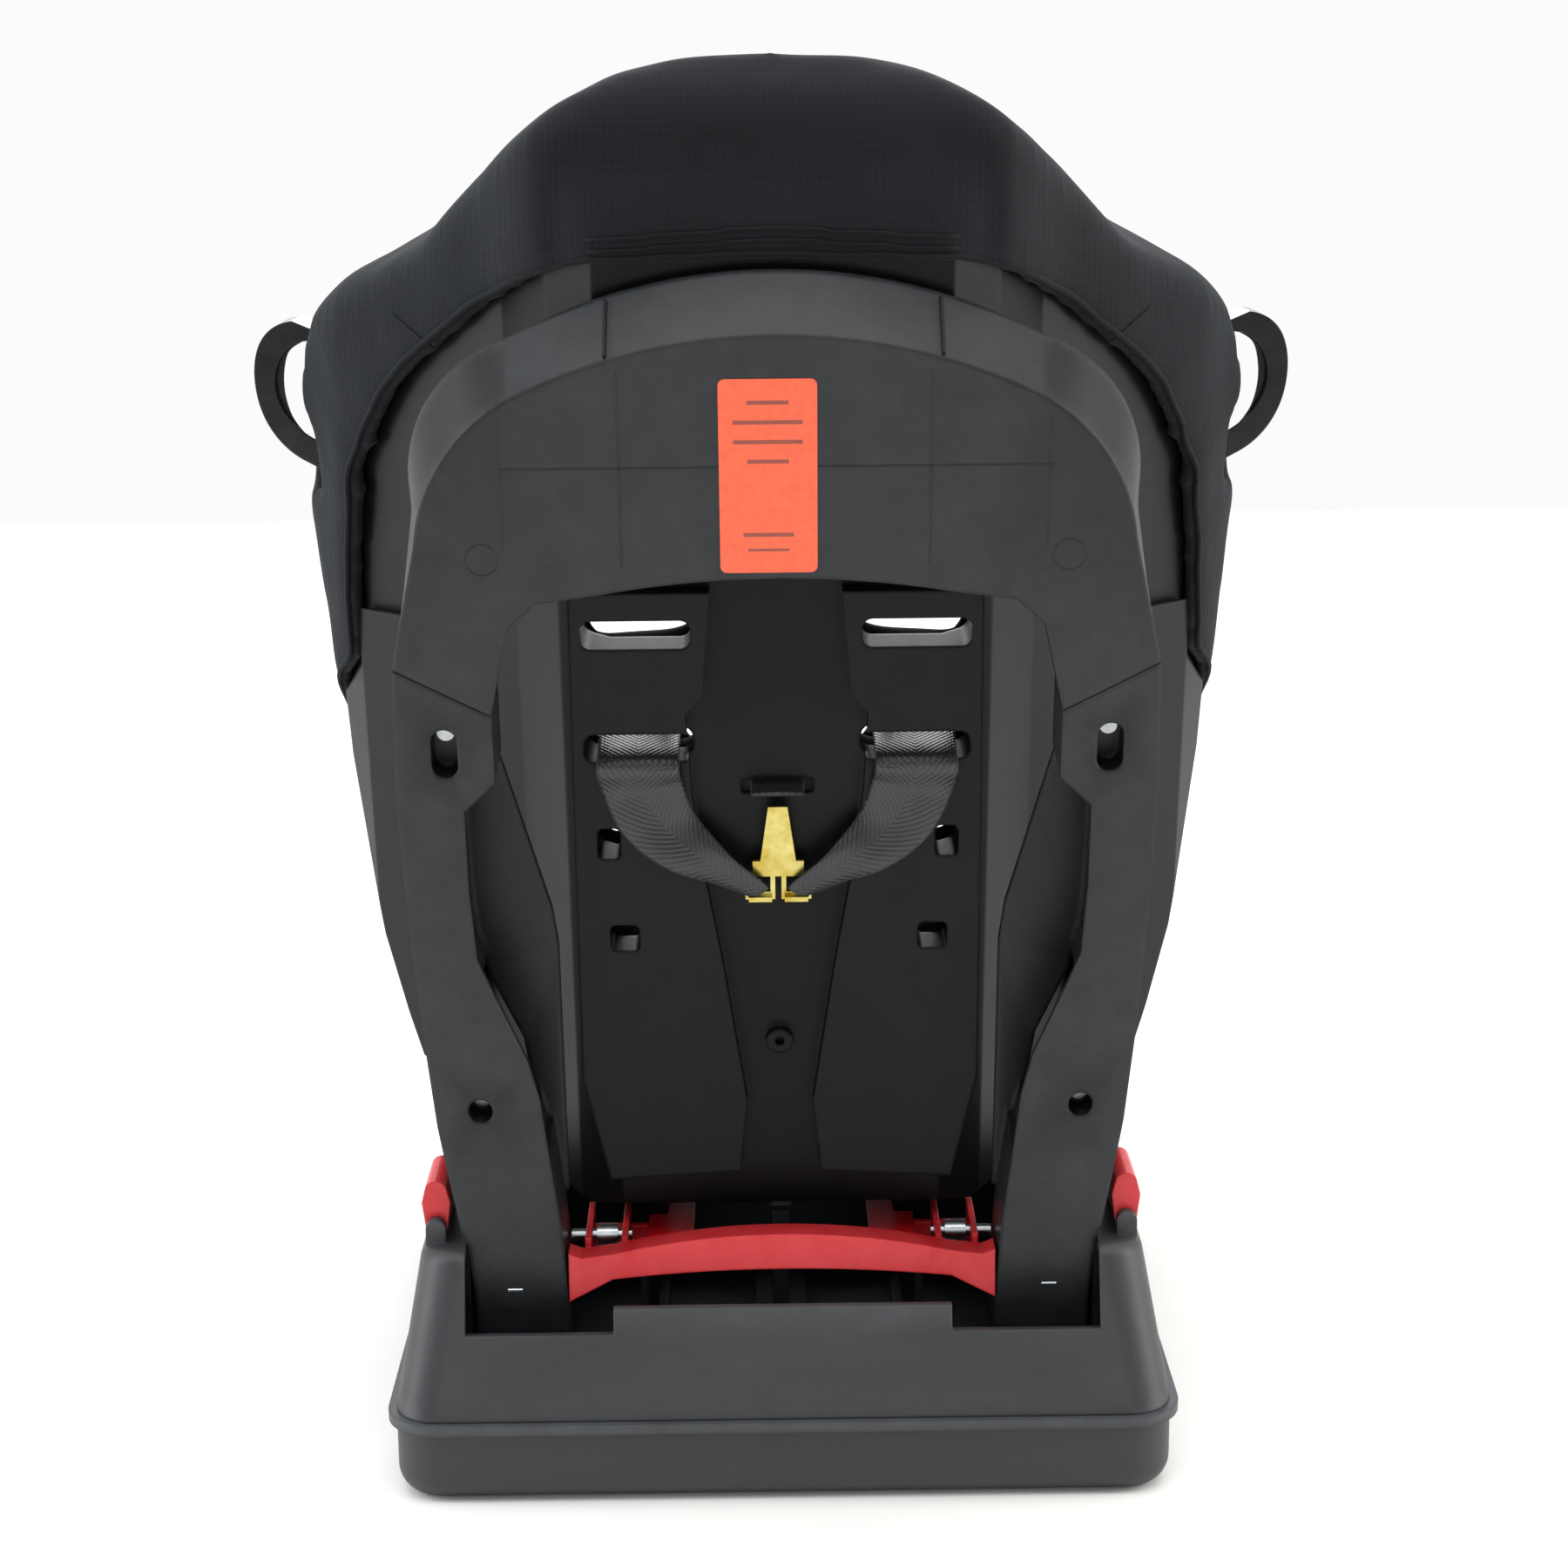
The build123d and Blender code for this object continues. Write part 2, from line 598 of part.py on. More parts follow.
def make_buckle_housing():
    w, d, h = buckle_size
    body = fillet(Box(w, d, h).edges().filter_by(Axis.Z), 7)
    body = fillet(body.faces().sort_by(Axis.Z)[0].edges(), 4)
    body -= Pos(0, -d / 2 + 4, 6) * Box(27, 14, 23)
    body -= Pos(0, 0, h / 2 - 8) * Box(32, 6, 20)
    body -= Pos(0, 2, -h / 2 + 3) * Box(27, 4, 14)
    return buckle_place * body


def make_buckle_button():
    w, d, h = buckle_size
    body = Pos(0, -d / 2 + 1.5, 6) * Box(26.2, 5, 22.2)
    body = fillet(body.edges().filter_by(Axis.Y), 3)
    return buckle_place * body


def make_tongue(side):
    h = buckle_size[2]
    blade = Pos(side * 7.6, 0, h / 2 - 4) * Box(14, 3, 26)
    head = Pos(side * 14, 0, h / 2 + 15) * Box(27, 3.4, 14)
    slot = Pos(side * 15, 0, h / 2 + 17) * Box(19, 8, 4)
    return buckle_place * (blade + head - slot)


strap_bottom = {1: (17, -50, 272), -1: (-17, -50, 272)}


def strap_top(side):
    return frame_point(side * slot_x, frame_height(slot_rows[1], -60), -68)


def front_strap_room(side):
    """The space that a shoulder strap and its clearance take up."""
    return bar_between(strap_bottom[side], strap_top(side), strap_width - 6 + 2 * run_gap, strap_thick + 2 * run_gap)


def make_front_strap(side):
    return bar_between(strap_bottom[side], strap_top(side), strap_width - 6, strap_thick)


def make_rear_strap(side):
    """From the slot's lip, where it folds down, to the yoke's hook."""
    w_slot = frame_height(slot_rows[1], -38)
    top = Plane(origin=(side * slot_x, -28.4, w_slot - 3), x_dir=(1, 0, 0), z_dir=(0, 0, -1))
    middle = Plane(origin=(side * 46, -27.6, w_slot - 44), x_dir=(1, 0, 0), z_dir=(side * -0.45, 0, -1))
    foot = Plane(origin=(side * 8.5, -27.2, 302), x_dir=(1, 0, 0), z_dir=(side * -0.45, 0, -1))
    run = loft([top * Rectangle(strap_width, strap_thick), middle * Rectangle(28, strap_thick),
                foot * Rectangle(10, strap_thick)], ruled=True)
    fold = box(side * slot_x - strap_width / 2, side * slot_x + strap_width / 2, -64.5, -27.4,
               w_slot - 3.4, w_slot - 1.4)
    return leaned(run + fold)


def make_yoke():
    n0, n1 = -31.6, -29.4
    plate = Pos(0, 313) * Rectangle(24, 8)
    neck = face_of([(-8.5, 316), (8.5, 316), (4.5, 345), (-4.5, 345)])
    hooks = [Pos(s * 8.5, 304) * (Rectangle(14, 14) - Pos(0, 1) * Rectangle(9.6, 8)) for _, s in sides]
    flat = plate + neck + hooks[0] + hooks[1]
    lips = [Pos(s * 8.5, -28.2, 298.2) * Box(11, 3.6, 2.4) for _, s in sides]
    body = front_prism(flat, n0, n1)
    for lip in lips:
        body += lip
    return leaned(body)


def make_chest_pad(side):
    a, b = Vector(*strap_bottom[side]), Vector(*strap_top(side))
    low, high = a + (b - a) * 0.36, a + (b - a) * 0.80
    pad = bar_between(low, high, 46, 13)
    return pad - front_strap_room(side)


def make_hip_strap(side):
    return mirrored(bar_between(*hip_strap_ends, 30, strap_thick), side) & bucket_hollow(gap)


anchor_top = 140.3


def make_crotch_strap():
    w, d, h = buckle_size
    inner = Pos(0, 2, -h / 2 + 3) * Box(26, 2, 12)
    lower = bar_between((0, crotch_y, 193), (0, crotch_y, anchor_top), 26, 2)
    top = buckle_place * Pos(0, 2, -h / 2 - 2) * Box(26, 2, 6)
    return (buckle_place * inner) + top + lower


def make_crotch_pad():
    w, d, h = buckle_size
    body = Pos(0, d / 2 + 5.3, -4) * Box(64, 10, 74)
    body = fillet(body.edges().filter_by(Axis.Y), 16)
    return buckle_place * body


def make_crotch_anchor():
    return box(-24, 24, crotch_y - 8, crotch_y + 8, anchor_top - 2.8, anchor_top)


# ---- front mechanism ------------------------------------------------------
adjuster_y, adjuster_z = -262.0, 180.0
lever_pivot = (adjuster_y + 6, adjuster_z + 9)


def make_adjuster_housing():
    body = box(-22, 22, adjuster_y, -240, adjuster_z - 13, adjuster_z + 15) - bucket_solid(gap)
    body -= box(-15, 15, adjuster_y - 1, adjuster_y + 10.8, adjuster_z - 14, adjuster_z + 16)
    bore = Pos(0, lever_pivot[0], lever_pivot[1]) * Rot(0, 90, 0) * Cylinder(2.0, 60)
    return body - bore


def make_adjuster_pin():
    return Pos(0, lever_pivot[0], lever_pivot[1]) * Rot(0, 90, 0) * Cylinder(1.95, 43)


def make_adjuster_lever():
    barrel = Pos(0, lever_pivot[0], lever_pivot[1]) * Rot(0, 90, 0) * Cylinder(4.2, 29)
    tab = box(-14.5, 14.5, lever_pivot[0] - 5.5, lever_pivot[0] - 2.5, adjuster_z - 12, lever_pivot[1])
    bore = Pos(0, lever_pivot[0], lever_pivot[1]) * Rot(0, 90, 0) * Cylinder(2.0, 60)
    return barrel + tab - bore


handle_front, handle_rear = Vector(0, -246, 143.0), Vector(0, 45, 122.0)
handle_thick = 5.0


def make_recline_handle():
    """A sliding plate under the bucket with a grip in front; its bolt locks the recline."""
    along = handle_front - handle_rear
    plane = Plane(origin=handle_rear, x_dir=(1, 0, 0), z_dir=(0, along.Z, -along.Y))
    length = along.length
    shank = Pos(0, length / 2) * Rectangle(40, length)
    grip = Pos(0, length + 8) * RectangleRounded(130, 34, 12) - Pos(0, length + 10) * RectangleRounded(98, 16, 7)
    flat = shank + grip if plane.y_dir.Y < 0 else mirror(shank + grip, Plane.XZ)
    return extrude(plane * flat, handle_thick)


def make_latch_bolt():
    reach = rack_radius - 3.0
    centre = axis_y + reach * sin(radians(bolt_deg))
    low = axis_z - rack_radius * cos(radians(bolt_deg))
    bolt = box(-6, 6, centre - 4, centre + 4, low - 2, handle_rear.Z + 3)
    return bolt & around_axis(-20, 20, 400, reach, bolt_deg - 3, bolt_deg + 3) - make_recline_handle()


for name, side in sides:
    save(f"frame_leg_{name}", mirrored(make_leg(), side))
    save(f"recline_rail_{name}", make_rail(side))
    save(f"recline_shoe_{name}", make_shoe(side))
    save(f"side_panel_{name}", make_side_panel(side))
    save(f"side_cushion_{name}", make_side_cushion(side))
    save(f"belt_guide_{name}", make_belt_guide(side))
    save(f"belt_clamp_{name}", mirrored(make_clamp_lever(), side))
    save(f"shoulder_strap_{name}", make_front_strap(side))
    save(f"rear_strap_{name}", make_rear_strap(side))
    save(f"hip_strap_{name}", make_hip_strap(side))
    save(f"chest_pad_{name}", make_chest_pad(side))
    save(f"buckle_tongue_{name}", make_tongue(side))
save("base_tray", make_base_tray())
save("base_housing", make_base_housing())
save("frame_arch", make_arch())
save("frame_screws", make_leg_screws())
save("rating_label", make_label())
save("belt_bridge", make_belt_bridge())
save("bridge_pins", make_bridge_pins())
save("latch_rack", make_latch_rack())
save("seat_shell", make_seat_shell())
save("seat_cover", make_seat_cover())
save("seat_cushion", make_seat_cushion())
save("back_cushion", make_back_cushion())
save("head_cushion", make_head_cushion())
save("adjuster_strap", make_adjuster_strap())
save("buckle_housing", make_buckle_housing())
save("buckle_button", make_buckle_button())
save("harness_yoke", make_yoke())
save("crotch_strap", make_crotch_strap())
save("crotch_pad", make_crotch_pad())
save("crotch_anchor", make_crotch_anchor())
save("adjuster_housing", make_adjuster_housing())
save("adjuster_pin", make_adjuster_pin())
save("adjuster_lever", make_adjuster_lever())
save("recline_handle", make_recline_handle())
save("latch_bolt", make_latch_bolt())
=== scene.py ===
import bpy, bmesh
import numpy as np
from math import atan, cos, sin, pi, radians
from mathutils import Vector, Matrix, noise
from mathutils.bvhtree import BVHTree


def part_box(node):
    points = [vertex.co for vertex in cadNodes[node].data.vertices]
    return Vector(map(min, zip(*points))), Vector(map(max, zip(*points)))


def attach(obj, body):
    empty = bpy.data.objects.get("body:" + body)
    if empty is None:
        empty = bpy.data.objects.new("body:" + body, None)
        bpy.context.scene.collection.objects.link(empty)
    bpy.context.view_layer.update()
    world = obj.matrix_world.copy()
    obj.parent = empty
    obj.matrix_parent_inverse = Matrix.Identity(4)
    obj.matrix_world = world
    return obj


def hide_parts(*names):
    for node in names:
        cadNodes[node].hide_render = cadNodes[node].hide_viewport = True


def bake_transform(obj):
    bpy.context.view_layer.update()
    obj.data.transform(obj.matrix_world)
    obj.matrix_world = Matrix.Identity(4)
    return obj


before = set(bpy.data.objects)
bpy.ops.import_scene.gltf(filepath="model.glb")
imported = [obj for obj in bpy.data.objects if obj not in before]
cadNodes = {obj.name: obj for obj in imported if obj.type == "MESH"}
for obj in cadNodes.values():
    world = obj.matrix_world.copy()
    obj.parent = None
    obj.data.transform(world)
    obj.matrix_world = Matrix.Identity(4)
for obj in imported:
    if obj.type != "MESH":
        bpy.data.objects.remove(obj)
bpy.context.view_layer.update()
mm = 0.001
sideSigns = (("left", 1), ("right", -1))
print("frame loaded:", len(cadNodes), "nodes")


# placing things on the leaning back
backFrame = {"lean": atan(0.2), "footY": 145 * mm}  # the same lean and foot as the model


def framePoint(x, along, behind):  # millimetres in the leaning frame, metres out
    lean = backFrame["lean"]
    return Vector((x * mm,
                   backFrame["footY"] + along * mm * sin(lean) + behind * mm * cos(lean),
                   along * mm * cos(lean) - behind * mm * sin(lean)))


def frameHeight(height, behind):  # distance along the frame of a height above the floor
    lean = backFrame["lean"]
    return (height + behind * sin(lean)) / cos(lean)


# material helpers
def hexColour(text):
    parts = [int(text[i:i + 2], 16) / 255 for i in (1, 3, 5)]
    return (*[c / 12.92 if c <= 0.04045 else ((c + 0.055) / 1.055) ** 2.4 for c in parts], 1)


def addNode(tree, kind, settings=None, links=None):
    node = tree.nodes.new(kind)
    for key, value in (settings or {}).items():
        if isinstance(key, int) or key in node.inputs:
            node.inputs[key].default_value = value
        else:
            setattr(node, key, value)
    for key, source in (links or {}).items():
        tree.links.new(node.inputs[key], source)
    return node


def startMaterial(name, shader):
    material = bpy.data.materials.new(name)
    material.use_nodes = True
    tree = material.node_tree
    tree.nodes.clear()
    surface = addNode(tree, "ShaderNodeBsdfPrincipled", shader)
    addNode(tree, "ShaderNodeOutputMaterial", links={"Surface": surface.outputs["BSDF"]})
    place = addNode(tree, "ShaderNodeTexCoord")
    return material, tree, surface, place


def colourBlend(tree, factor, low, high):
    ramp = addNode(tree, "ShaderNodeValToRGB", links={"Fac": factor})
    ramp.color_ramp.elements[0].color = hexColour(low[1])
    ramp.color_ramp.elements[0].position = low[0]
    ramp.color_ramp.elements[1].color = hexColour(high[1])
    ramp.color_ramp.elements[1].position = high[0]
    return ramp.outputs["Color"]


def mouldedPlastic(name, spec):
    # a pressed-in spark-eroded grain breaks up the gloss; handled edges are rubbed smoother and paler
    material, tree, surface, place = startMaterial(name, {"Roughness": spec["roughness"], "IOR": spec["ior"],
                                                          "Specular IOR Level": spec["shine"]})
    where = place.outputs["Object"]
    grain = addNode(tree, "ShaderNodeTexNoise",
                    {"Scale": 1000 / spec["grainMm"], "Detail": 3.0, "Roughness": 0.65},
                    {"Vector": where})
    flow = addNode(tree, "ShaderNodeTexNoise", {"Scale": 7.0, "Detail": 4.0, "Roughness": 0.55},
                   {"Vector": where})
    dust = addNode(tree, "ShaderNodeTexNoise", {"Scale": 60.0, "Detail": 6.0, "Roughness": 0.7},
                   {"Vector": where})
    shape = addNode(tree, "ShaderNodeNewGeometry")
    edge = addNode(tree, "ShaderNodeMapRange", {"From Min": 0.52, "From Max": 0.60},
                   {"Value": shape.outputs["Pointiness"]})
    scuff = addNode(tree, "ShaderNodeMath", {"operation": "MULTIPLY"},
                    {0: edge.outputs["Result"], 1: dust.outputs["Fac"]})
    body = colourBlend(tree, flow.outputs["Fac"], (0.3, spec["colour"]), (0.75, spec["paler"]))
    mixed = addNode(tree, "ShaderNodeMix", {"data_type": "RGBA"})
    mixed.inputs[7].default_value = hexColour(spec["rubbed"])
    tree.links.new(mixed.inputs[6], body)
    tree.links.new(mixed.inputs[0], scuff.outputs["Value"])
    tree.links.new(surface.inputs["Base Color"], mixed.outputs[2])
    spread = addNode(tree, "ShaderNodeMapRange",
                     {"To Min": spec["roughness"] - spec["glossSpread"],
                      "To Max": spec["roughness"] + spec["glossSpread"]},
                     {"Value": dust.outputs["Fac"]})
    tree.links.new(surface.inputs["Roughness"], spread.outputs["Result"])
    # the mould's corner radius
    rounded = addNode(tree, "ShaderNodeBevel", {"samples": 6, "Radius": spec["edgeMm"] * mm})
    bump = addNode(tree, "ShaderNodeBump",
                   {"Strength": spec["grainStrength"], "Distance": spec["grainMm"] * 0.25 * mm},
                   {"Height": grain.outputs["Fac"], "Normal": rounded.outputs["Normal"]})
    wave = addNode(tree, "ShaderNodeBump", {"Strength": 0.1, "Distance": 0.5 * mm},
                   {"Height": flow.outputs["Fac"], "Normal": bump.outputs["Normal"]})
    tree.links.new(surface.inputs["Normal"], wave.outputs["Normal"])
    return material


def knittedFabric(name, spec):
    # interlock knit: fine vertical wales crossed by courses, matt, with a pale fuzz at grazing angles
    shader = {"Roughness": 0.92, "IOR": 1.5, "Sheen Weight": spec["sheen"], "Sheen Roughness": 0.45,
              "Specular IOR Level": 0.25}
    material, tree, surface, place = startMaterial(name, shader)
    surface.inputs["Sheen Tint"].default_value = hexColour(spec["fuzz"])
    where = place.outputs["Object"]
    turns = 1000 / spec["loopMm"]
    wales = addNode(tree, "ShaderNodeTexWave",
                    {"bands_direction": "X", "Scale": turns / (2 * pi), "Distortion": 0.6,
                                                "Detail": 1.0, "Detail Scale": 1.5}, {"Vector": where})
    courses = addNode(tree, "ShaderNodeTexWave",
                      {"bands_direction": "Z", "Scale": turns / (2 * pi) * 0.8, "Distortion": 0.6,
                                                  "Detail": 1.0, "Detail Scale": 1.5}, {"Vector": where})
    loops = addNode(tree, "ShaderNodeMath", {"operation": "MULTIPLY"},
                    {0: wales.outputs["Fac"], 1: courses.outputs["Fac"]})
    fuzz = addNode(tree, "ShaderNodeTexNoise", {"Scale": 900.0, "Detail": 4.0, "Roughness": 0.7},
                   {"Vector": where})
    patch = addNode(tree, "ShaderNodeTexNoise", {"Scale": 11.0, "Detail": 5.0, "Roughness": 0.6},
                    {"Vector": where})
    crease = addNode(tree, "ShaderNodeTexNoise", {"Scale": 24.0, "Detail": 2.0, "Distortion": 1.2},
                     {"Vector": where})
    tone = addNode(tree, "ShaderNodeMath", {"operation": "MULTIPLY_ADD", 1: 0.35},
                   {0: loops.outputs["Value"], 2: patch.outputs["Fac"]})
    tree.links.new(surface.inputs["Base Color"],
                   colourBlend(tree, tone.outputs["Value"], (0.3, spec["colour"]), (0.95, spec["paler"])))
    knit = addNode(tree, "ShaderNodeBump", {"Strength": 0.3, "Distance": 0.3 * mm},
                   {"Height": loops.outputs["Value"]})
    fluff = addNode(tree, "ShaderNodeBump", {"Strength": 0.3, "Distance": 0.2 * mm},
                    {"Height": fuzz.outputs["Fac"], "Normal": knit.outputs["Normal"]})
    soft = addNode(tree, "ShaderNodeBump", {"Strength": 0.3, "Distance": 2.2 * mm},
                   {"Height": crease.outputs["Fac"], "Normal": fluff.outputs["Normal"]})
    tree.links.new(surface.inputs["Normal"], soft.outputs["Normal"])
    return material


def polyesterWebbing(name, spec):
    # woven in a chevron twill: slanted ribs each side of the middle, a tight smooth edge and a slight shine
    shader = {"Roughness": 0.36, "IOR": 1.55, "Sheen Weight": 0.15, "Sheen Roughness": 0.4}
    material, tree, surface, place = startMaterial(name, shader)
    split = addNode(tree, "ShaderNodeSeparateXYZ", links={"Vector": place.outputs["UV"]})
    across = addNode(tree, "ShaderNodeMath", {"operation": "ABSOLUTE"}, {0: split.outputs["X"]})
    slant = addNode(tree, "ShaderNodeMath", {"operation": "ADD"},
                    {0: across.outputs["Value"], 1: split.outputs["Y"]})
    ribs = addNode(tree, "ShaderNodeMath", {"operation": "MULTIPLY", 1: 2 * pi * 1000 / spec["ribMm"]},
                   {0: slant.outputs["Value"]})
    twill = addNode(tree, "ShaderNodeMath", {"operation": "SINE"}, {0: ribs.outputs["Value"]})
    warp = addNode(tree, "ShaderNodeMath", {"operation": "MULTIPLY", 1: 2 * pi * 1000 / spec["yarnMm"]},
                   {0: split.outputs["X"]})
    yarn = addNode(tree, "ShaderNodeMath", {"operation": "SINE"}, {0: warp.outputs["Value"]})
    weave = addNode(tree, "ShaderNodeMath", {"operation": "MULTIPLY_ADD", 1: 0.4},
                    {0: yarn.outputs["Value"], 2: twill.outputs["Value"]})
    spread = addNode(tree, "ShaderNodeMapRange", {"From Min": -1.4, "From Max": 1.4},
                     {"Value": weave.outputs["Value"]})
    tree.links.new(surface.inputs["Base Color"],
                   colourBlend(tree, spread.outputs["Result"], (0.1, spec["colour"]), (0.9, spec["paler"])))
    bump = addNode(tree, "ShaderNodeBump", {"Strength": 0.6, "Distance": 0.3 * mm},
                   {"Height": spread.outputs["Result"]})
    tree.links.new(surface.inputs["Normal"], bump.outputs["Normal"])
    return material


def platedSteel(name, spec):
    # passivated zinc: a thin even plating, faintly cloudy, with rolling marks from the strip under it
    material, tree, surface, place = startMaterial(name, {"Metallic": 1.0, "Roughness": spec["roughness"]})
    where = place.outputs["Object"]
    cloud = addNode(tree, "ShaderNodeTexNoise", {"Scale": 90.0, "Detail": 5.0, "Roughness": 0.6},
                    {"Vector": where})
    stretch = addNode(tree, "ShaderNodeMapping", {"Scale": (60, 60, 2600)}, {"Vector": where})
    rolled = addNode(tree, "ShaderNodeTexNoise", {"Scale": 1.0, "Detail": 2.0},
                     {"Vector": stretch.outputs["Vector"]})
    tree.links.new(surface.inputs["Base Color"],
                   colourBlend(tree, cloud.outputs["Fac"], (0.35, spec["colour"]), (0.7, spec["tint"])))
    spread = addNode(tree, "ShaderNodeMapRange",
                     {"To Min": spec["roughness"] - 0.08, "To Max": spec["roughness"] + 0.12},
                     {"Value": cloud.outputs["Fac"]})
    tree.links.new(surface.inputs["Roughness"], spread.outputs["Result"])
    bump = addNode(tree, "ShaderNodeBump", {"Strength": 0.2, "Distance": 0.05 * mm},
                   {"Height": rolled.outputs["Fac"]})
    tree.links.new(surface.inputs["Normal"], bump.outputs["Normal"])
    return material


def labelFilm(name, spec):
    # satin polyester film, solid ink; a few plain bars stand where print would be
    material, tree, surface, place = startMaterial(name, {"Roughness": 0.38, "IOR": 1.57, "Coat Weight": 0.3,
                                                          "Coat Roughness": 0.2})
    split = addNode(tree, "ShaderNodeSeparateXYZ", links={"Vector": place.outputs["Object"]})
    total = None
    for height, halfHeight, halfWidth in spec["bars"]:
        offZ = addNode(tree, "ShaderNodeMath", {"operation": "SUBTRACT", 1: height}, {0: split.outputs["Z"]})
        nearZ = addNode(tree, "ShaderNodeMath", {"operation": "COMPARE", 1: 0.0, 2: halfHeight},
                        {0: offZ.outputs["Value"]})
        nearX = addNode(tree, "ShaderNodeMath", {"operation": "COMPARE", 1: spec["middleX"], 2: halfWidth},
                        {0: split.outputs["X"]})
        bar = addNode(tree, "ShaderNodeMath", {"operation": "MULTIPLY"},
                      {0: nearZ.outputs["Value"], 1: nearX.outputs["Value"]})
        if total is None:
            total = bar
        else:
            total = addNode(tree, "ShaderNodeMath", {"operation": "MAXIMUM"},
                            {0: total.outputs["Value"], 1: bar.outputs["Value"]})
    ink = addNode(tree, "ShaderNodeTexNoise", {"Scale": 300.0, "Detail": 3.0},
                  {"Vector": place.outputs["Object"]})
    field = colourBlend(tree, ink.outputs["Fac"], (0.3, spec["colour"]), (0.7, spec["paler"]))
    mixed = addNode(tree, "ShaderNodeMix", {"data_type": "RGBA"})
    tree.links.new(mixed.inputs[0], total.outputs["Value"])
    tree.links.new(mixed.inputs[6], field)
    mixed.inputs[7].default_value = hexColour(spec["barColour"])
    tree.links.new(surface.inputs["Base Color"], mixed.outputs[2])
    bump = addNode(tree, "ShaderNodeBump", {"Strength": 0.1, "Distance": 0.05 * mm},
                   {"Height": ink.outputs["Fac"]})
    tree.links.new(surface.inputs["Normal"], bump.outputs["Normal"])
    return material


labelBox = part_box("rating_label")
labelTop, labelLow = labelBox[1][2], labelBox[0][2]
labelSpan = labelTop - labelLow
materials = {
    # polypropylene moulded in a spark-eroded tool: matt charcoal with a soft broad sheen
    "basePolypropylene": mouldedPlastic("base polypropylene", {
        "colour": "#292b2e", "paler": "#2d2f32", "rubbed": "#4c4f52", "roughness": 0.48, "ior": 1.49,
        "shine": 0.5,
        "grainMm": 1.1, "grainStrength": 0.35, "glossSpread": 0.05, "edgeMm": 2.0}),
    # the same resin in the frame's tool, which has broad corner radii
    "framePolypropylene": mouldedPlastic("frame polypropylene", {
        "colour": "#15171a", "paler": "#17191c", "rubbed": "#34373a", "roughness": 0.38, "ior": 1.49,
        "shine": 0.3,
        "grainMm": 1.3, "grainStrength": 0.25, "glossSpread": 0.05, "edgeMm": 3.5}),
    # the bucket's inner structure: smoother tool, catches longer highlights; its blacker colour is partly the
    # resin's own black and partly painted shade, darkened so that the side softboxes lighting the arch leave
    # the shell dark
    "shellPolypropyleneWithPaintedShade": mouldedPlastic("shell polypropylene with painted shade", {
        "colour": "#090a0b", "paler": "#0b0c0d", "rubbed": "#181a1c", "roughness": 0.4, "ior": 1.49,
        "shine": 0.16,
        "grainMm": 1.6, "grainStrength": 0.18, "glossSpread": 0.06, "edgeMm": 2.5}),
    # glass-filled polyamide from a polished tool: nearly black and glossy
    "glossPolyamide": mouldedPlastic("gloss polyamide", {
        "colour": "#070808", "paler": "#090a0a", "rubbed": "#2a2c2e", "roughness": 0.17, "ior": 1.53,
        "shine": 0.5,
        "grainMm": 2.5, "grainStrength": 0.06, "glossSpread": 0.05, "edgeMm": 0.8}),
    "redPolypropylene": mouldedPlastic("red polypropylene", {
        "colour": "#b80f17", "paler": "#c9141d", "rubbed": "#e0484c", "roughness": 0.36, "ior": 1.49,
        "shine": 0.38,
        "grainMm": 1.4, "grainStrength": 0.15, "glossSpread": 0.05, "edgeMm": 1.2}),
    # loops are about 0.8 mm; drawn at 1.5 mm so that they show
    "coverKnit": knittedFabric("polyester knit cover", {
        "colour": "#101215", "paler": "#191c20", "fuzz": "#7d848c", "sheen": 0.14, "loopMm": 1.5}),
    "cushionKnit": knittedFabric("polyester knit lining", {
        "colour": "#14161a", "paler": "#23262b", "fuzz": "#8d949c", "sheen": 0.2, "loopMm": 1.9}),
    "bindingTape": knittedFabric("polyester binding tape", {
        "colour": "#0d0f11", "paler": "#17191c", "fuzz": "#7f868d", "sheen": 0.12, "loopMm": 1.1}),
    "harnessWebbing": polyesterWebbing("polyester webbing",
                                       {"colour": "#0f1011", "paler": "#2b2d30", "ribMm": 3.0,
                                        "yarnMm": 1.6}),
    "yellowZinc": platedSteel("yellow zinc steel",
                              {"colour": "#b59a3c", "tint": "#d8cf86", "roughness": 0.32}),
    "brightZinc": platedSteel("bright zinc steel",
                              {"colour": "#9ea1a4", "tint": "#c4c7ca", "roughness": 0.26}),
    "orangeFilm": labelFilm("orange label film", {
        "colour": "#ec5324", "paler": "#f15d2b", "barColour": "#8f3216", "middleX": 3 * mm,
        "bars": [(labelTop - labelSpan * share, half * mm, wide * mm) for share, half, wide in (
            (0.12, 0.9, 9), (0.22, 0.9, 15), (0.32, 0.9, 15), (0.42, 0.9, 9), (0.80, 0.9, 11),
            (0.88, 0.6, 9))]}),
}

finishes = {
    "basePolypropylene": ["base_tray", "base_housing", "recline_rail_left", "recline_rail_right",
                          "latch_rack"],
    "framePolypropylene": ["frame_leg_left", "frame_leg_right", "frame_arch"],
    "shellPolypropyleneWithPaintedShade": ["seat_shell", "side_panel_left", "side_panel_right", "recline_shoe_left",
                           "recline_shoe_right"],
    "glossPolyamide": ["belt_guide_left", "belt_guide_right", "buckle_housing", "adjuster_housing",
                       "recline_handle"],
    "redPolypropylene": ["belt_bridge", "belt_clamp_left", "belt_clamp_right", "buckle_button",
                         "adjuster_lever"],
    "yellowZinc": ["harness_yoke"],
    "brightZinc": ["frame_screws", "bridge_pins", "buckle_tongue_left", "buckle_tongue_right",
                   "crotch_anchor",
                   "adjuster_pin", "latch_bolt"],
    "orangeFilm": ["rating_label"],
}
for finish, names in finishes.items():
    for name in names:
        node = cadNodes[name]
        node.data.materials.clear()
        node.data.materials.append(materials[finish])
print("materials made:", len(materials))


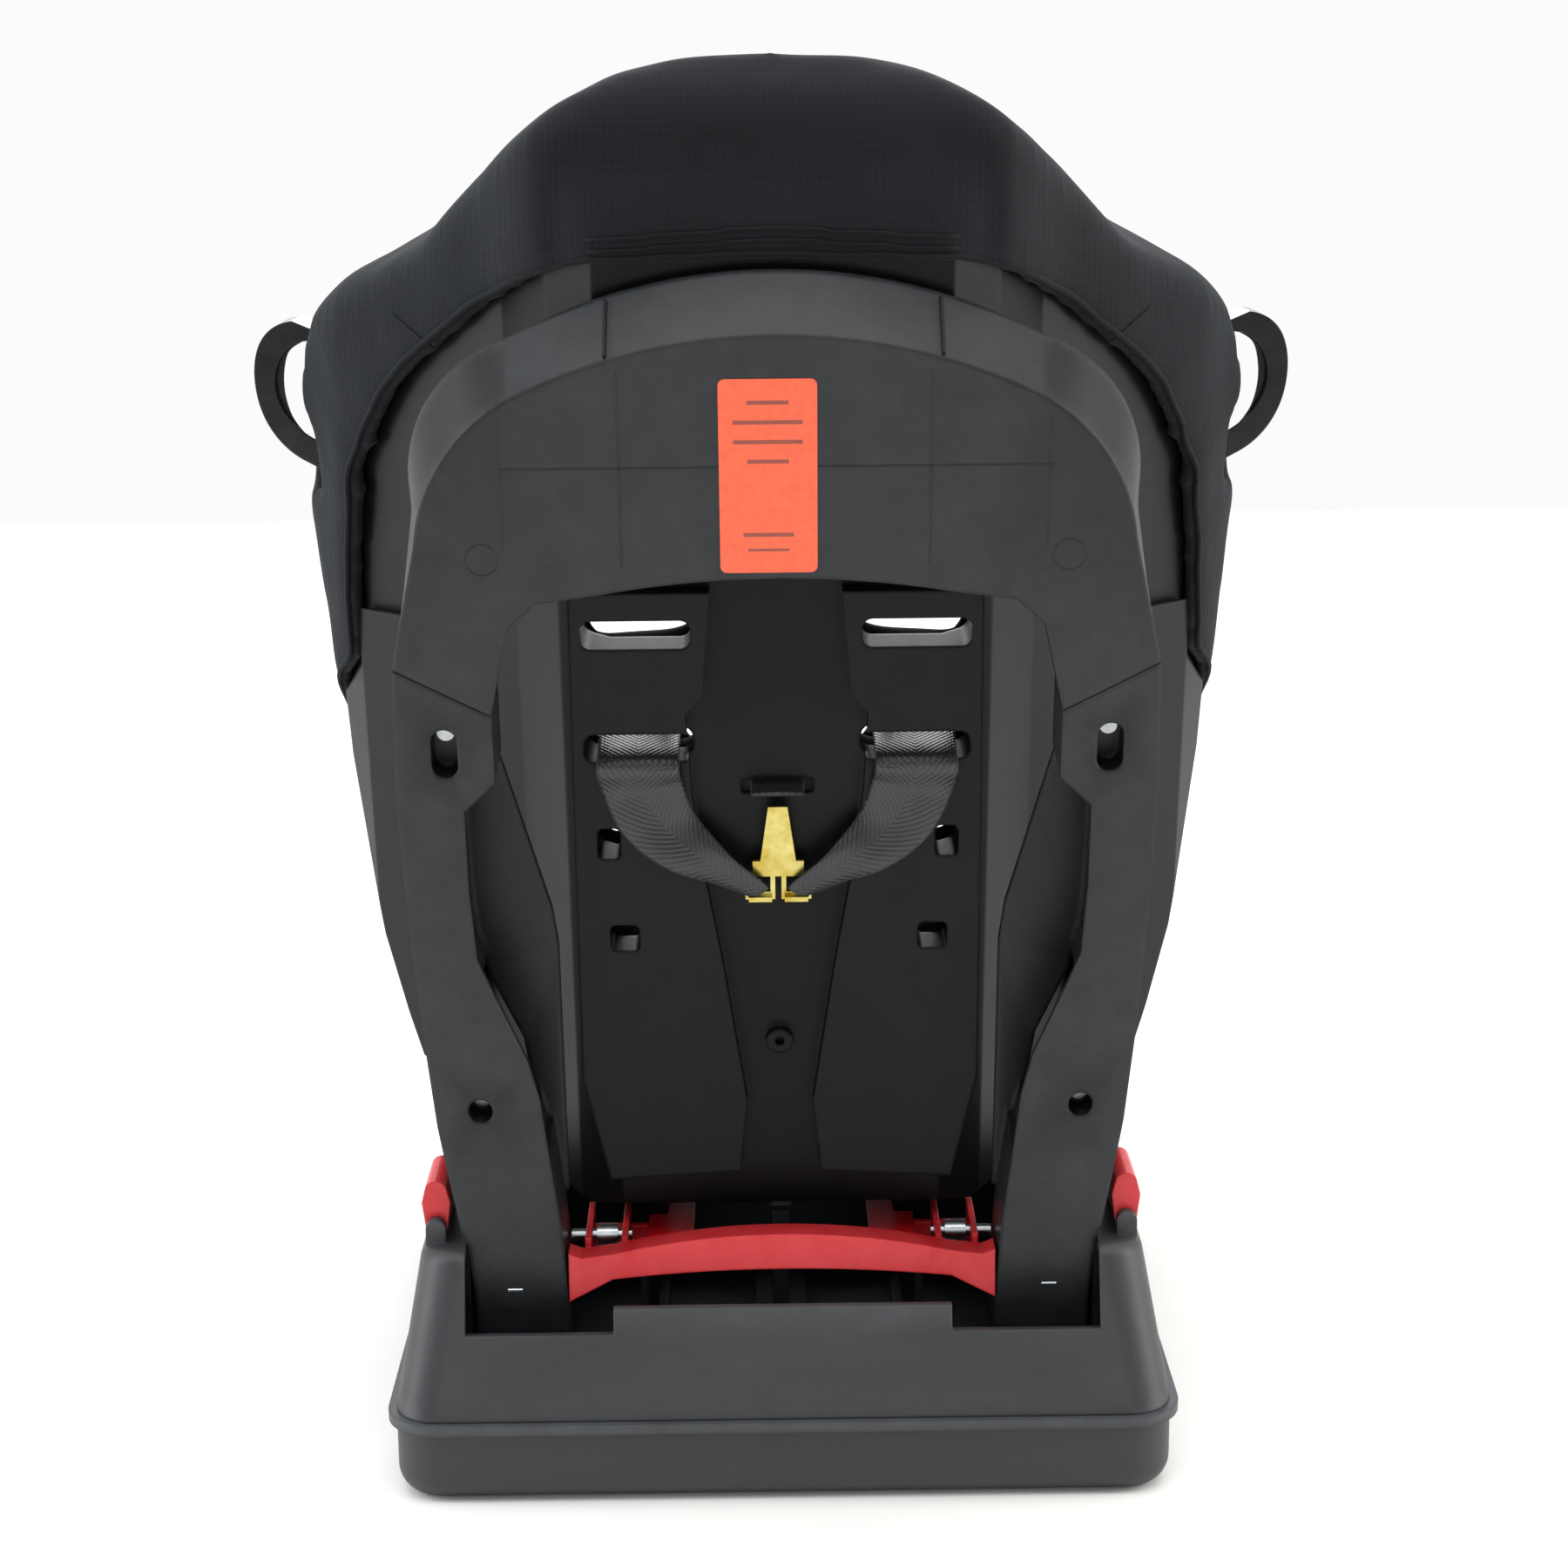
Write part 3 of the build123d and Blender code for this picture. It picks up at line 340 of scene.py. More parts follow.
# mesh helpers
def addObject(name, verts, faces, material, smooth=True):
    mesh = bpy.data.meshes.new(name)
    mesh.from_pydata([tuple(v) for v in verts], [], faces)
    mesh.update()
    piece = bpy.data.objects.new(name, mesh)
    bpy.context.scene.collection.objects.link(piece)
    mesh.materials.append(material)
    if smooth:
        mesh.shade_smooth()
    return piece


def copyOfNode(nodeName, newName):
    source = cadNodes[nodeName]
    piece = bpy.data.objects.new(newName, source.data.copy())
    bpy.context.scene.collection.objects.link(piece)
    piece.data.materials.clear()
    return piece


def bakeModifiers(piece):
    graph = bpy.context.evaluated_depsgraph_get()
    mesh = bpy.data.meshes.new_from_object(piece.evaluated_get(graph))
    piece.modifiers.clear()
    piece.data = mesh
    return piece


def vertexArray(piece):
    flat = np.empty(len(piece.data.vertices) * 3)
    piece.data.vertices.foreach_get("co", flat)
    return flat.reshape(-1, 3)


def writeVertices(piece, points):
    piece.data.vertices.foreach_set("co", np.asarray(points).ravel())
    piece.data.update()


def relax(piece, rounds, cap):  # rounds corners off without letting any point move further than cap
    start = vertexArray(piece)
    points = start.copy()
    pairs = np.empty(len(piece.data.edges) * 2, dtype=np.int64)
    piece.data.edges.foreach_get("vertices", pairs)
    pairs = pairs.reshape(-1, 2)
    count = np.bincount(pairs.ravel(), minlength=len(points))[:, None]
    for _ in range(rounds):
        total = np.zeros_like(points)
        np.add.at(total, pairs[:, 0], points[pairs[:, 1]])
        np.add.at(total, pairs[:, 1], points[pairs[:, 0]])
        points = points * 0.5 + total / np.maximum(count, 1) * 0.5
        move = points - start
        far = np.linalg.norm(move, axis=1, keepdims=True)
        points = start + move * np.minimum(1, cap / np.maximum(far, 1e-9))
    writeVertices(piece, points)


def remesh(piece, size):
    modifier = piece.modifiers.new("voxels", "REMESH")
    modifier.mode = "VOXEL"
    modifier.voxel_size = size
    bakeModifiers(piece)


clothSpec = {"quality": 4, "mass": 0.3, "stiffness": 12, "steps": 20}


def inflate(piece, spec):  # pressure from the filling, run as cloth and then applied
    start = vertexArray(piece)
    cloth = piece.modifiers.new("filling", "CLOTH")
    cloth.settings.quality = clothSpec["quality"]
    cloth.settings.mass = clothSpec["mass"]
    cloth.settings.tension_stiffness = clothSpec["stiffness"]
    cloth.settings.compression_stiffness = clothSpec["stiffness"]
    cloth.settings.use_pressure = True
    cloth.settings.uniform_pressure_force = spec["pressure"]
    cloth.settings.effector_weights.gravity = 0
    cloth.point_cache.frame_start = 1
    cloth.point_cache.frame_end = clothSpec["steps"]
    for step in range(1, clothSpec["steps"] + 1):
        bpy.context.scene.frame_set(step)
    bakeModifiers(piece)
    bpy.context.scene.frame_set(1)
    points = vertexArray(piece)
    move = points - start
    far = np.linalg.norm(move, axis=1, keepdims=True)
    writeVertices(piece, start + move * np.minimum(1, spec["cap"] * mm / np.maximum(far, 1e-9)))


def pushAlongNormals(piece, amountAt):
    normals = np.empty(len(piece.data.vertices) * 3)
    piece.data.vertices.foreach_get("normal", normals)
    normals = normals.reshape(-1, 3)
    points = vertexArray(piece)
    amounts = np.array([amountAt(Vector(p), Vector(n)) for p, n in zip(points, normals)])
    writeVertices(piece, points + normals * amounts[:, None])


def finishSoft(piece, material, body):
    piece.data.materials.clear()
    piece.data.materials.append(material)
    piece.data.shade_smooth()
    smoothing = piece.modifiers.new("soft", "SUBSURF")
    smoothing.levels = 1
    smoothing.render_levels = 1
    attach(piece, body)


def tube(name, points, radius, material, body, sides=8):
    count = len(points)
    verts, faces = [], []
    up = Vector((0, 0, 1))
    for i, point in enumerate(points):
        along = (points[min(i + 1, count - 1)] - points[max(i - 1, 0)]).normalized()
        aside = along.cross(up)
        if aside.length < 0.1:
            aside = along.cross(Vector((0, 1, 0)))
        aside.normalize()
        over = aside.cross(along)
        for k in range(sides):
            turn = 2 * pi * k / sides
            verts.append(point + (aside * cos(turn) + over * sin(turn)) * radius)
    for i in range(count - 1):
        for k in range(sides):
            a, b = i * sides, (i + 1) * sides
            faces.append((a + k, a + (k + 1) % sides, b + (k + 1) % sides, b + k))
    faces.append(tuple(range(sides - 1, -1, -1)))
    faces.append(tuple((count - 1) * sides + k for k in range(sides)))
    piece = addObject(name, verts, faces, material)
    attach(piece, body)
    return piece


def smoothPath(points, steps):  # a Catmull-Rom curve through tuples of numbers
    out = []
    last = len(points) - 1
    for i in range(last):
        nearby = [points[max(min(j, last), 0)] for j in (i - 1, i, i + 1, i + 2)]
        p0, p1, p2, p3 = (np.array(point, dtype=float) for point in nearby)
        for k in range(steps):
            t = k / steps
            out.append(0.5 * (2 * p1 + (p2 - p0) * t + (2 * p0 - 5 * p1 + 4 * p2 - p3) * t * t
                              + (3 * p1 - p0 - 3 * p2 + p3) * t ** 3))
    out.append(np.array(points[-1], dtype=float))
    return out


def webbing(name, stations, thick, nodeName, steps):
    # each station is a middle point, the direction of its width and the width; the edges are a touch thinner
    rows = smoothPath([(*place, *Vector(aside).normalized(), width) for place, aside, width in stations],
                      steps)
    profile = [(-0.5, 0.0), (-0.47, 0.42), (-0.2, 0.5), (0.2, 0.5), (0.47, 0.42), (0.5, 0.0),
               (0.47, -0.42), (0.2, -0.5), (-0.2, -0.5), (-0.47, -0.42)]
    verts, faces, lengths = [], [], [0.0]
    for i, row in enumerate(rows):
        place, aside, width = Vector(row[:3]), Vector(row[3:6]).normalized(), row[6]
        ahead = Vector(rows[min(i + 1, len(rows) - 1)][:3])
        behind = Vector(rows[max(i - 1, 0)][:3])
        along = (ahead - behind).normalized()
        aside = (aside - along * aside.dot(along)).normalized()
        face = along.cross(aside)
        if i:
            lengths.append(lengths[-1] + (place - Vector(rows[i - 1][:3])).length)
        verts += [place + aside * (u * width) + face * (v * thick) for u, v in profile]
    ring = len(profile)
    for i in range(len(rows) - 1):
        for k in range(ring):
            faces.append((i * ring + k, i * ring + (k + 1) % ring, (i + 1) * ring + (k + 1) % ring,
                          (i + 1) * ring + k))
    faces.append(tuple(range(ring - 1, -1, -1)))
    faces.append(tuple((len(rows) - 1) * ring + k for k in range(ring)))
    piece = addObject(name, verts, faces, materials["harnessWebbing"])
    layer = piece.data.uv_layers.new(name="weave")
    for polygon in piece.data.polygons:
        for loop in polygon.loop_indices:
            vertex = piece.data.loops[loop].vertex_index
            row, corner = divmod(vertex, ring)
            layer.data[loop].uv = (profile[corner][0] * rows[row][6], lengths[row])
    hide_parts(nodeName)
    return piece


# fabric cover
coverSpec = {"voxel": 4.5, "relaxRounds": 14, "relaxCap": 5.0, "middle": (0, 0, 0.42), "bulge": 3.0,
             "creaseSize": 0.055, "creaseDepth": 1.3, "fullDropX": 0.112, "drop": (3, 16),
             "archFront": -0.0335, "archLow": 0.607, "flatten": 6.5}


def fade(value, low, high):  # 0 below low, 1 above high, smooth between
    t = min(max((value - low) / (high - low), 0), 1)
    return t * t * (3 - 2 * t)


def drapedHem(p):  # the hem hangs lower at the shoulders and tucks in ahead of the arch
    across = min(abs(p.x) / coverSpec["fullDropX"], 1)
    middleDrop, shoulderDrop = coverSpec["drop"]
    drop = (middleDrop + shoulderDrop * across ** 1.4) * mm
    p.z -= drop * fade(p.y, 0.07, 0.14) * (1 - fade(p.z, 0.575 - 0.05 * across, 0.64))
    lean = backFrame["lean"]
    behind = (p.y - backFrame["footY"]) * cos(lean) - p.z * sin(lean)
    along = (p.y - backFrame["footY"]) * sin(lean) + p.z * cos(lean)
    if behind > coverSpec["archFront"] and along < coverSpec["archLow"]:
        push = (behind - coverSpec["archFront"]) * (1 - fade(along, 0.600, coverSpec["archLow"]))
        p.y -= push * cos(lean)
        p.z += push * sin(lean)
    flat = fade(along, 0.598, 0.608) * (1 - fade(along, 0.655, 0.680)) * fade(behind, -0.046, -0.034)
    p.y -= coverSpec["flatten"] * mm * flat  # pulled flat where it swings past the arch
    return p


def makeCover():
    cover = copyOfNode("seat_cover", "fabricCover")
    remesh(cover, coverSpec["voxel"] * mm)
    relax(cover, coverSpec["relaxRounds"], coverSpec["relaxCap"] * mm)

    def swell(p, n):
        outward = 1.0 if n.dot(p - Vector(coverSpec["middle"])) > 0 else 0.0
        size = coverSpec["creaseSize"]
        creases = noise.noise(p / size) + 0.5 * noise.noise(p / (size * 0.4))
        return outward * (coverSpec["bulge"] + coverSpec["creaseDepth"] * creases) * mm
    pushAlongNormals(cover, swell)
    relax(cover, 3, 2 * mm)
    writeVertices(cover, np.array([drapedHem(Vector(p)) for p in vertexArray(cover)]))
    finishSoft(cover, materials["coverKnit"], "seat")
    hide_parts("seat_cover")
    return cover


cover = makeCover()
bpy.context.view_layer.update()
coverTree = BVHTree.FromObject(cover, bpy.context.evaluated_depsgraph_get())
print("cover made:", len(cover.data.vertices), "points")


def onCover(start, direction):
    hit, normal, _, _ = coverTree.ray_cast(Vector(start), Vector(direction).normalized(), 1.0)
    return (hit, normal) if hit else (None, None)


hemSpec = {
    "line": [(205, 592), (165, 577), (122, 545), (96, 500), (80, 450), (64, 392), (20, 352), (-56, 304),
             (-150, 256), (-205, 219)],
    "lift": 1.0, "radius": 1.7, "stitchRows": (7.0, 12.0), "stitchRadius": 0.9, "search": 26,
    "sideX": 0.4, "rearY": 0.5, "rearZ": 0.596, "halfAcross": 88, "halfTucks": 80, "tuckFall": 0.03,
    "seamX": (176, 156), "seamZ": (570, 555), "seamRadius": 0.7,
}


def hemStation(place, inward, direction, lift):  # goes from bare shell onto the fabric, then on by lift
    place, inward = Vector(place), Vector(inward)
    for step in range(-hemSpec["search"], hemSpec["search"]):
        edge, _ = onCover(place + inward * step * mm, direction)
        if edge:
            hit, normal = onCover(place + inward * (step + lift) * mm, direction)
            return hit + normal * 0.4 * mm if hit else None
    return None


def rearHemStation(x, lift):  # seen from straight behind
    return hemStation((x * mm, hemSpec["rearY"], hemSpec["rearZ"]), (0, 0, 1), (0, -1, 0), lift)


def hemPath(lift):
    sidePoints = smoothPath(hemSpec["line"], 8)
    runs = []
    for _, sign in sideSigns:
        run = []
        for i, (y, z) in enumerate(sidePoints):
            ahead, behind = sidePoints[min(i + 1, len(sidePoints) - 1)], sidePoints[max(i - 1, 0)]
            along = Vector((0, ahead[0] - behind[0], ahead[1] - behind[1])).normalized()
            beside = (sign * hemSpec["sideX"], y * mm, z * mm)
            run.append(hemStation(beside, (0, along.z, -along.y), (-sign, 0, 0), lift))
        runs.append(run)
    half = hemSpec["halfAcross"]
    across = [rearHemStation(x, lift) for x in np.linspace(half, -half, 25)]
    points = [point for point in (*reversed(runs[0]), *across, *runs[1]) if point is not None]
    even = [points[0]]
    for point in points[1:]:
        if 2 * mm < (point - even[-1]).length < 60 * mm:
            even.append(point)
    last = len(even) - 1
    return [(even[max(i - 1, 0)] + even[i] * 2 + even[min(i + 1, last)]) / 4 for i in range(last + 1)]


def gatherPath(lift):  # short stitched tucks over the middle of the hem
    half = hemSpec["halfTucks"]
    across = [rearHemStation(x, lift - abs(x) * hemSpec["tuckFall"]) for x in np.linspace(half, -half, 33)]
    return [point for point in across if point is not None]


hem = tube("hemPiping", hemPath(hemSpec["lift"]), hemSpec["radius"] * mm, materials["bindingTape"], "seat")
for number, lift in enumerate(hemSpec["stitchRows"]):
    tuck = tube(f"hemTuck{number + 1}", gatherPath(lift), hemSpec["stitchRadius"] * mm,
                materials["bindingTape"], "seat", sides=6)
for label, sign in sideSigns:
    places = zip(np.linspace(*hemSpec["seamX"], 9), np.linspace(*hemSpec["seamZ"], 9))
    seamLine = [onCover((sign * x * mm, hemSpec["rearY"], z * mm), (0, -1, 0)) for x, z in places]
    seam = tube(f"panelSeam{label.title()}", [hit + normal * 0.1 * mm for hit, normal in seamLine if hit],
                hemSpec["seamRadius"] * mm, materials["bindingTape"], "seat", sides=6)
print("hem made")


# cushions
cushionSpecs = {
    "seat_cushion": {"name": "seatCushion", "voxel": 5, "pressure": 3.0, "cap": 6, "fill": 0.7},
    "back_cushion": {"name": "backCushion", "voxel": 5, "pressure": 3.0, "cap": 6, "fill": 0.7},
    "head_cushion": {"name": "headCushion", "voxel": 5, "pressure": 3.0, "cap": 5, "fill": 0.6},
    "side_cushion_left": {"name": "sideCushionLeft", "voxel": 5, "pressure": 3.0, "cap": 6, "fill": 0.6},
    "side_cushion_right": {"name": "sideCushionRight", "voxel": 5, "pressure": 3.0, "cap": 6, "fill": 0.6},
    "crotch_pad": {"name": "crotchPad", "voxel": 2.5, "pressure": 3.0, "cap": 2.5, "fill": 0.6},
    "chest_pad_left": {"name": "chestPadLeft", "voxel": 2.5, "pressure": 2.0, "cap": 2.0, "fill": 0.5},
    "chest_pad_right": {"name": "chestPadRight", "voxel": 2.5, "pressure": 2.0, "cap": 2.0, "fill": 0.5},
}
channelSpec = {"spacing": 58, "depth": 3.2, "width": 5.0, "sideX": 78, "backFrom": 170, "seatFrom": 40,
               "facing": 0.4}  # sewn across the seat and back


def sewnChannel(distance):  # a groove profile, 1 in the stitch line and 0 away from it
    return np.exp(-(distance / channelSpec["width"]) ** 2)


def makeCushion(nodeName, spec):
    pad = copyOfNode(nodeName, spec["name"])
    remesh(pad, spec["voxel"] * mm)
    relax(pad, 6, 3 * mm)
    inflate(pad, spec)
    relax(pad, 2, 1.5 * mm)
    if nodeName in ("back_cushion", "seat_cushion"):
        def groove(p, n):
            if nodeName == "back_cushion":
                facing, run = -n.y, p.z / mm - channelSpec["backFrom"]
            else:
                facing, run = n.z, -p.y / mm + channelSpec["seatFrom"]
            if facing < channelSpec["facing"]:
                return 0.0
            off = (run + channelSpec["spacing"] / 2) % channelSpec["spacing"] - channelSpec["spacing"] / 2
            edge = sewnChannel(abs(p.x / mm) - channelSpec["sideX"])
            return -max(sewnChannel(off), edge) * channelSpec["depth"] * mm
        pushAlongNormals(pad, groove)
    body = {"chest_pad_left": "pad_left", "chest_pad_right": "pad_right"}.get(nodeName, "seat")
    finishSoft(pad, materials["cushionKnit"], body)
    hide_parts(nodeName)
    return pad


cushions = {name: makeCushion(name, spec) for name, spec in cushionSpecs.items()}
print("cushions made:", len(cushions))


# harness webbing
harness = {"slotX": 64, "slotHeight": 376, "width": 38, "thick": 1.8, "buckleX": 17, "buckleY": -50,
           "buckleZ": 272}


def makeRearStrap(label, sign):
    w = frameHeight(harness["slotHeight"], -38)
    x, full = harness["slotX"], harness["width"] * mm
    stations = [
        (framePoint(sign * x, w - 2.0, -64), (1, 0, 0), full),
        (framePoint(sign * x, w - 2.2, -46), (1, 0, 0), full),
        (framePoint(sign * x, w - 2.6, -31), (1, 0, 0), full),
        (framePoint(sign * x, w - 4.4, -24.2), (1, 0, 0), full),
        (framePoint(sign * x, w - 9.5, -22.6), (1, 0, 0), full),
        (framePoint(sign * (x - 2), w - 20, -25.8), (1, 0.02 * sign, -0.05 * sign), 37 * mm),
        (framePoint(sign * (x - 8), w - 34, -25.2), (1, 0.15 * sign, -0.25 * sign), 34 * mm),
        (framePoint(sign * (x - 20), w - 48, -25.0), (1, 0.35 * sign, -0.6 * sign), 27 * mm),
        (framePoint(sign * 27, w - 61, -25.6), (1, -0.3 * sign, -0.9 * sign), 18 * mm),
        (framePoint(sign * 13, 305.5, -26.6), (1, -0.3 * sign, -0.7 * sign), 12 * mm),
        (framePoint(sign * 8.5, 300.8, -28.0), (1, 0, -0.1 * sign), 10 * mm),
    ]
    piece = webbing(f"rearWebbing{label.title()}", stations, harness["thick"] * mm, f"rear_strap_{label}", 12)
    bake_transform(piece)


def makeShoulderStrap(label, sign):
    x, height = sign * harness["slotX"], harness["slotHeight"]
    top = framePoint(x, frameHeight(height, -60), -68)
    low = Vector((sign * harness["buckleX"], harness["buckleY"], harness["buckleZ"])) * mm
    run = top - low
    stations = [
        (framePoint(x, frameHeight(height, -38) - 2, -62), (1, 0, 0), harness["width"] * mm),
        (top, (1, 0, 0), 37 * mm),
        (low + run * 0.8, (1, 0, 0), 34 * mm),
        (low + run * 0.4, (1, 0, 0), 33 * mm),
        (low + run * 0.1, (1, 0, 0), 30 * mm),
        (low, (1, 0, 0), 26 * mm),
    ]
    piece = webbing(f"shoulderWebbing{label.title()}", stations, harness["thick"] * mm,
                    f"shoulder_strap_{label}", 8)
    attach(piece, "seat")


def makeHipStrap(label, sign):
    start, end = Vector((sign * 31, -47, 264)) * mm, Vector((sign * 104, 96, 201)) * mm
    bow = Vector((sign * 0.3, 0, 1)).normalized()
    stations = [
        (start, (1, 0, 0), 26 * mm),
        (start.lerp(end, 0.3) + bow * 1.0 * mm, (1, 0.1 * sign, 0), 30 * mm),
        (start.lerp(end, 0.65), (1, 0.1 * sign, 0), 31 * mm),
        (end, (1, 0.1 * sign, 0), 30 * mm),
    ]
    piece = webbing(f"hipWebbing{label.title()}", stations, harness["thick"] * mm, f"hip_strap_{label}", 8)
    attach(piece, "seat")


for label, sign in sideSigns:
    makeRearStrap(label, sign)
    makeShoulderStrap(label, sign)
    makeHipStrap(label, sign)


def makeCrotchStrap():
    low, high = (corner[2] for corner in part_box("crotch_strap"))
    places = [(-0.0813, low), (-0.0813, 0.170), (-0.0810, 0.190), (-0.0775, high - 0.002)]
    stations = [(Vector((0, y, z)), (1, 0, 0), 26 * mm) for y, z in places]
    piece = webbing("crotchWebbing", stations, harness["thick"] * mm, "crotch_strap", 6)
    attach(piece, "seat")


makeCrotchStrap()
adjusterSpec = {
    "width": 25, "thick": 2.0,
    "slot": [(352, -28.6), (352, -38), (351, -46)],
    "wallHeights": (330, 250, 190, 165), "wallFoot": (131.5, 128), "wallLean": 0.2, "offWall": 9.59,
    "floor": [(0, 80), (0, 20), (28.5, -25), (28.5, -125), (0, -170), (0, -236)],
    "floorHeight": 144.4, "floorFall": 0.11,
}


def makeAdjusterStrap():  # from the yoke's slot down inside the back and forward along the seat floor
    spec = adjusterSpec
    footY, footZ = spec["wallFoot"]
    slot = [framePoint(0, along, behind) for along, behind in spec["slot"]]
    wall = [Vector((0, footY + spec["wallLean"] * (z - footZ) - spec["offWall"], z)) * mm
            for z in spec["wallHeights"]]
    floor = [Vector((x, y, spec["floorHeight"] - spec["floorFall"] * y)) * mm for x, y in spec["floor"]]
    stations = [(place, (1, 0, 0), spec["width"] * mm) for place in (*slot, *wall, *floor)]
    piece = webbing("adjusterWebbing", stations, spec["thick"] * mm, "adjuster_strap", 6)
    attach(piece, "seat")


makeAdjusterStrap()
print("harness made")


# moulded details on the frame
archSpec = {"lineHalf": 0.7, "proud": 0.18,
            "lines": [(24.5, 521.5, 119, 521.5), (-18, 521.5, -122, 521.5), (119, 485, 119, 543),
                      (-119, 485, -119, 543), (67.5, 476, 67.5, 565), (-67.5, 476, -67.5, 565)],
            "ringX": 128.6, "ringW": 480, "ringRadius": 7.2, "ribX": 72, "ribHalf": 0.8, "ribHeight": 2.0,
            "ringSides": 24, "footX": 131, "footW": 98, "footHalf": (3.6, 1.1)}


def addPrism(verts, faces, corners, top):  # four corners at the bottom and four narrower ones above
    base = len(verts)
    verts += [*corners, *top]
    faces += [(base + 3, base + 2, base + 1, base), (base + 4, base + 5, base + 6, base + 7)]
    faces += [(base + i, base + (i + 1) % 4, base + 4 + (i + 1) % 4, base + 4 + i) for i in range(4)]


def addRidge(verts, faces, x0, w0, x1, w1, half, proud):  # a low line on the frame's rear face
    run = Vector((x1 - x0, w1 - w0)).normalized()
    sideX, sideW = -run.y, run.x
    low, high = [], []
    for size, height, out in ((half, -0.2, low), (half * 0.5, proud, high)):
        for x, w, turn in ((x0, w0, 1), (x1, w1, 1), (x1, w1, -1), (x0, w0, -1)):
            out.append(framePoint(x + sideX * size * turn, w + sideW * size * turn, height))
    addPrism(verts, faces, low, high)


def makeFrameDetails():
    verts, faces = [], []
    for x0, w0, x1, w1 in archSpec["lines"]:
        addRidge(verts, faces, x0, w0, x1, w1, archSpec["lineHalf"], archSpec["proud"])
    for _, sign in sideSigns:
        for step in range(archSpec["ringSides"]):
            a, b = (2 * pi * corner / archSpec["ringSides"] for corner in (step, step + 1))
            radius, x, w = archSpec["ringRadius"], sign * archSpec["ringX"], archSpec["ringW"]
            addRidge(verts, faces, x + radius * cos(a), w + radius * sin(a), x + radius * cos(b),
                     w + radius * sin(b), 0.5, 0.15)
    piece = addObject("archMouldedLines", verts, faces, materials["framePolypropylene"], False)
    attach(piece, "base")
    arch = cadNodes["frame_arch"]
    tree = BVHTree.FromObject(arch, bpy.context.evaluated_depsgraph_get())
    turn = arch.matrix_world
    verts, faces = [], []
    for _, sign in sideSigns:
        spine = []
        for behind in np.linspace(-1.5, -29, 10):
            start = framePoint(sign * archSpec["ribX"], 640, behind)
            aim = framePoint(sign * archSpec["ribX"], 540, behind) - start
            hit, normal, _, _ = tree.ray_cast(turn.inverted() @ start,
                                              (turn.inverted().to_3x3() @ aim).normalized(), 0.1)
            if hit:
                spine.append((turn @ hit, (turn.to_3x3() @ normal).normalized()))
        half = Vector((archSpec["ribHalf"] * mm, 0, 0))
        for (p0, n0), (p1, n1) in zip(spine, spine[1:]):
            sink, rise = 0.5 * mm, archSpec["ribHeight"] * mm
            corners = ((p0, n0, -1), (p0, n0, 1), (p1, n1, 1), (p1, n1, -1))
            low = [p + side * half - n * sink for p, n, side in corners]
            high = [p + side * half * 0.6 + n * rise for p, n, side in corners]
            addPrism(verts, faces, low, high)
    ribs = addObject("archTopRibs", verts, faces, materials["framePolypropylene"], False)
    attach(ribs, "base")
    verts, faces = [], []
    for _, sign in sideSigns:
        halfX, halfW = archSpec["footHalf"]
        x, w = sign * archSpec["footX"], archSpec["footW"]
        addRidge(verts, faces, x - halfX, w, x + halfX, w, halfW, 0.5)
    clips = addObject("legFootClips", verts, faces, materials["brightZinc"], False)
    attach(clips, "base")


makeFrameDetails()
print("frame details made")


# thin inner lips of the belt guides
guideLipSpec = {"front": 46.5, "rear": 48.0,
                "outer": [(231, 557), (247, 549), (251.5, 529), (243.5, 506.5), (230.5, 493.5)],
                "inner": [(231, 549), (238.5, 543), (241, 528), (238, 513), (230.5, 502)]}


def makeGuideLip(label, sign):
    outer, inner = smoothPath(guideLipSpec["outer"], 6), smoothPath(guideLipSpec["inner"], 6)
    count = len(outer)
    verts = [Vector((sign * x, y, z)) * mm for y in (guideLipSpec["front"], guideLipSpec["rear"])
             for run in (outer, inner) for x, z in run]
    faces = []
    for i in range(count - 1):
        a, b, c, d = i, count + i, 2 * count + i, 3 * count + i
        faces += [(a, a + 1, b + 1, b), (c, d, d + 1, c + 1), (a, c, c + 1, a + 1), (b, b + 1, d + 1, d)]
    for i in (0, count - 1):
        faces.append((i, count + i, 3 * count + i, 2 * count + i))
    lip = addObject(f"guideInnerLip{label.title()}", verts, faces, materials["glossPolyamide"], False)
    bm = bmesh.new()
    bm.from_mesh(lip.data)
    bmesh.ops.recalc_face_normals(bm, faces=bm.faces)
    bm.to_mesh(lip.data)
    bm.free()
    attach(lip, "seat")


for label, sign in sideSigns:
    makeGuideLip(label, sign)


# stage, light and camera
stageSpec = {"floor": ("#efefed", "#f4f4f2"), "size": 6.0, "world": (1.0, 0.30)}


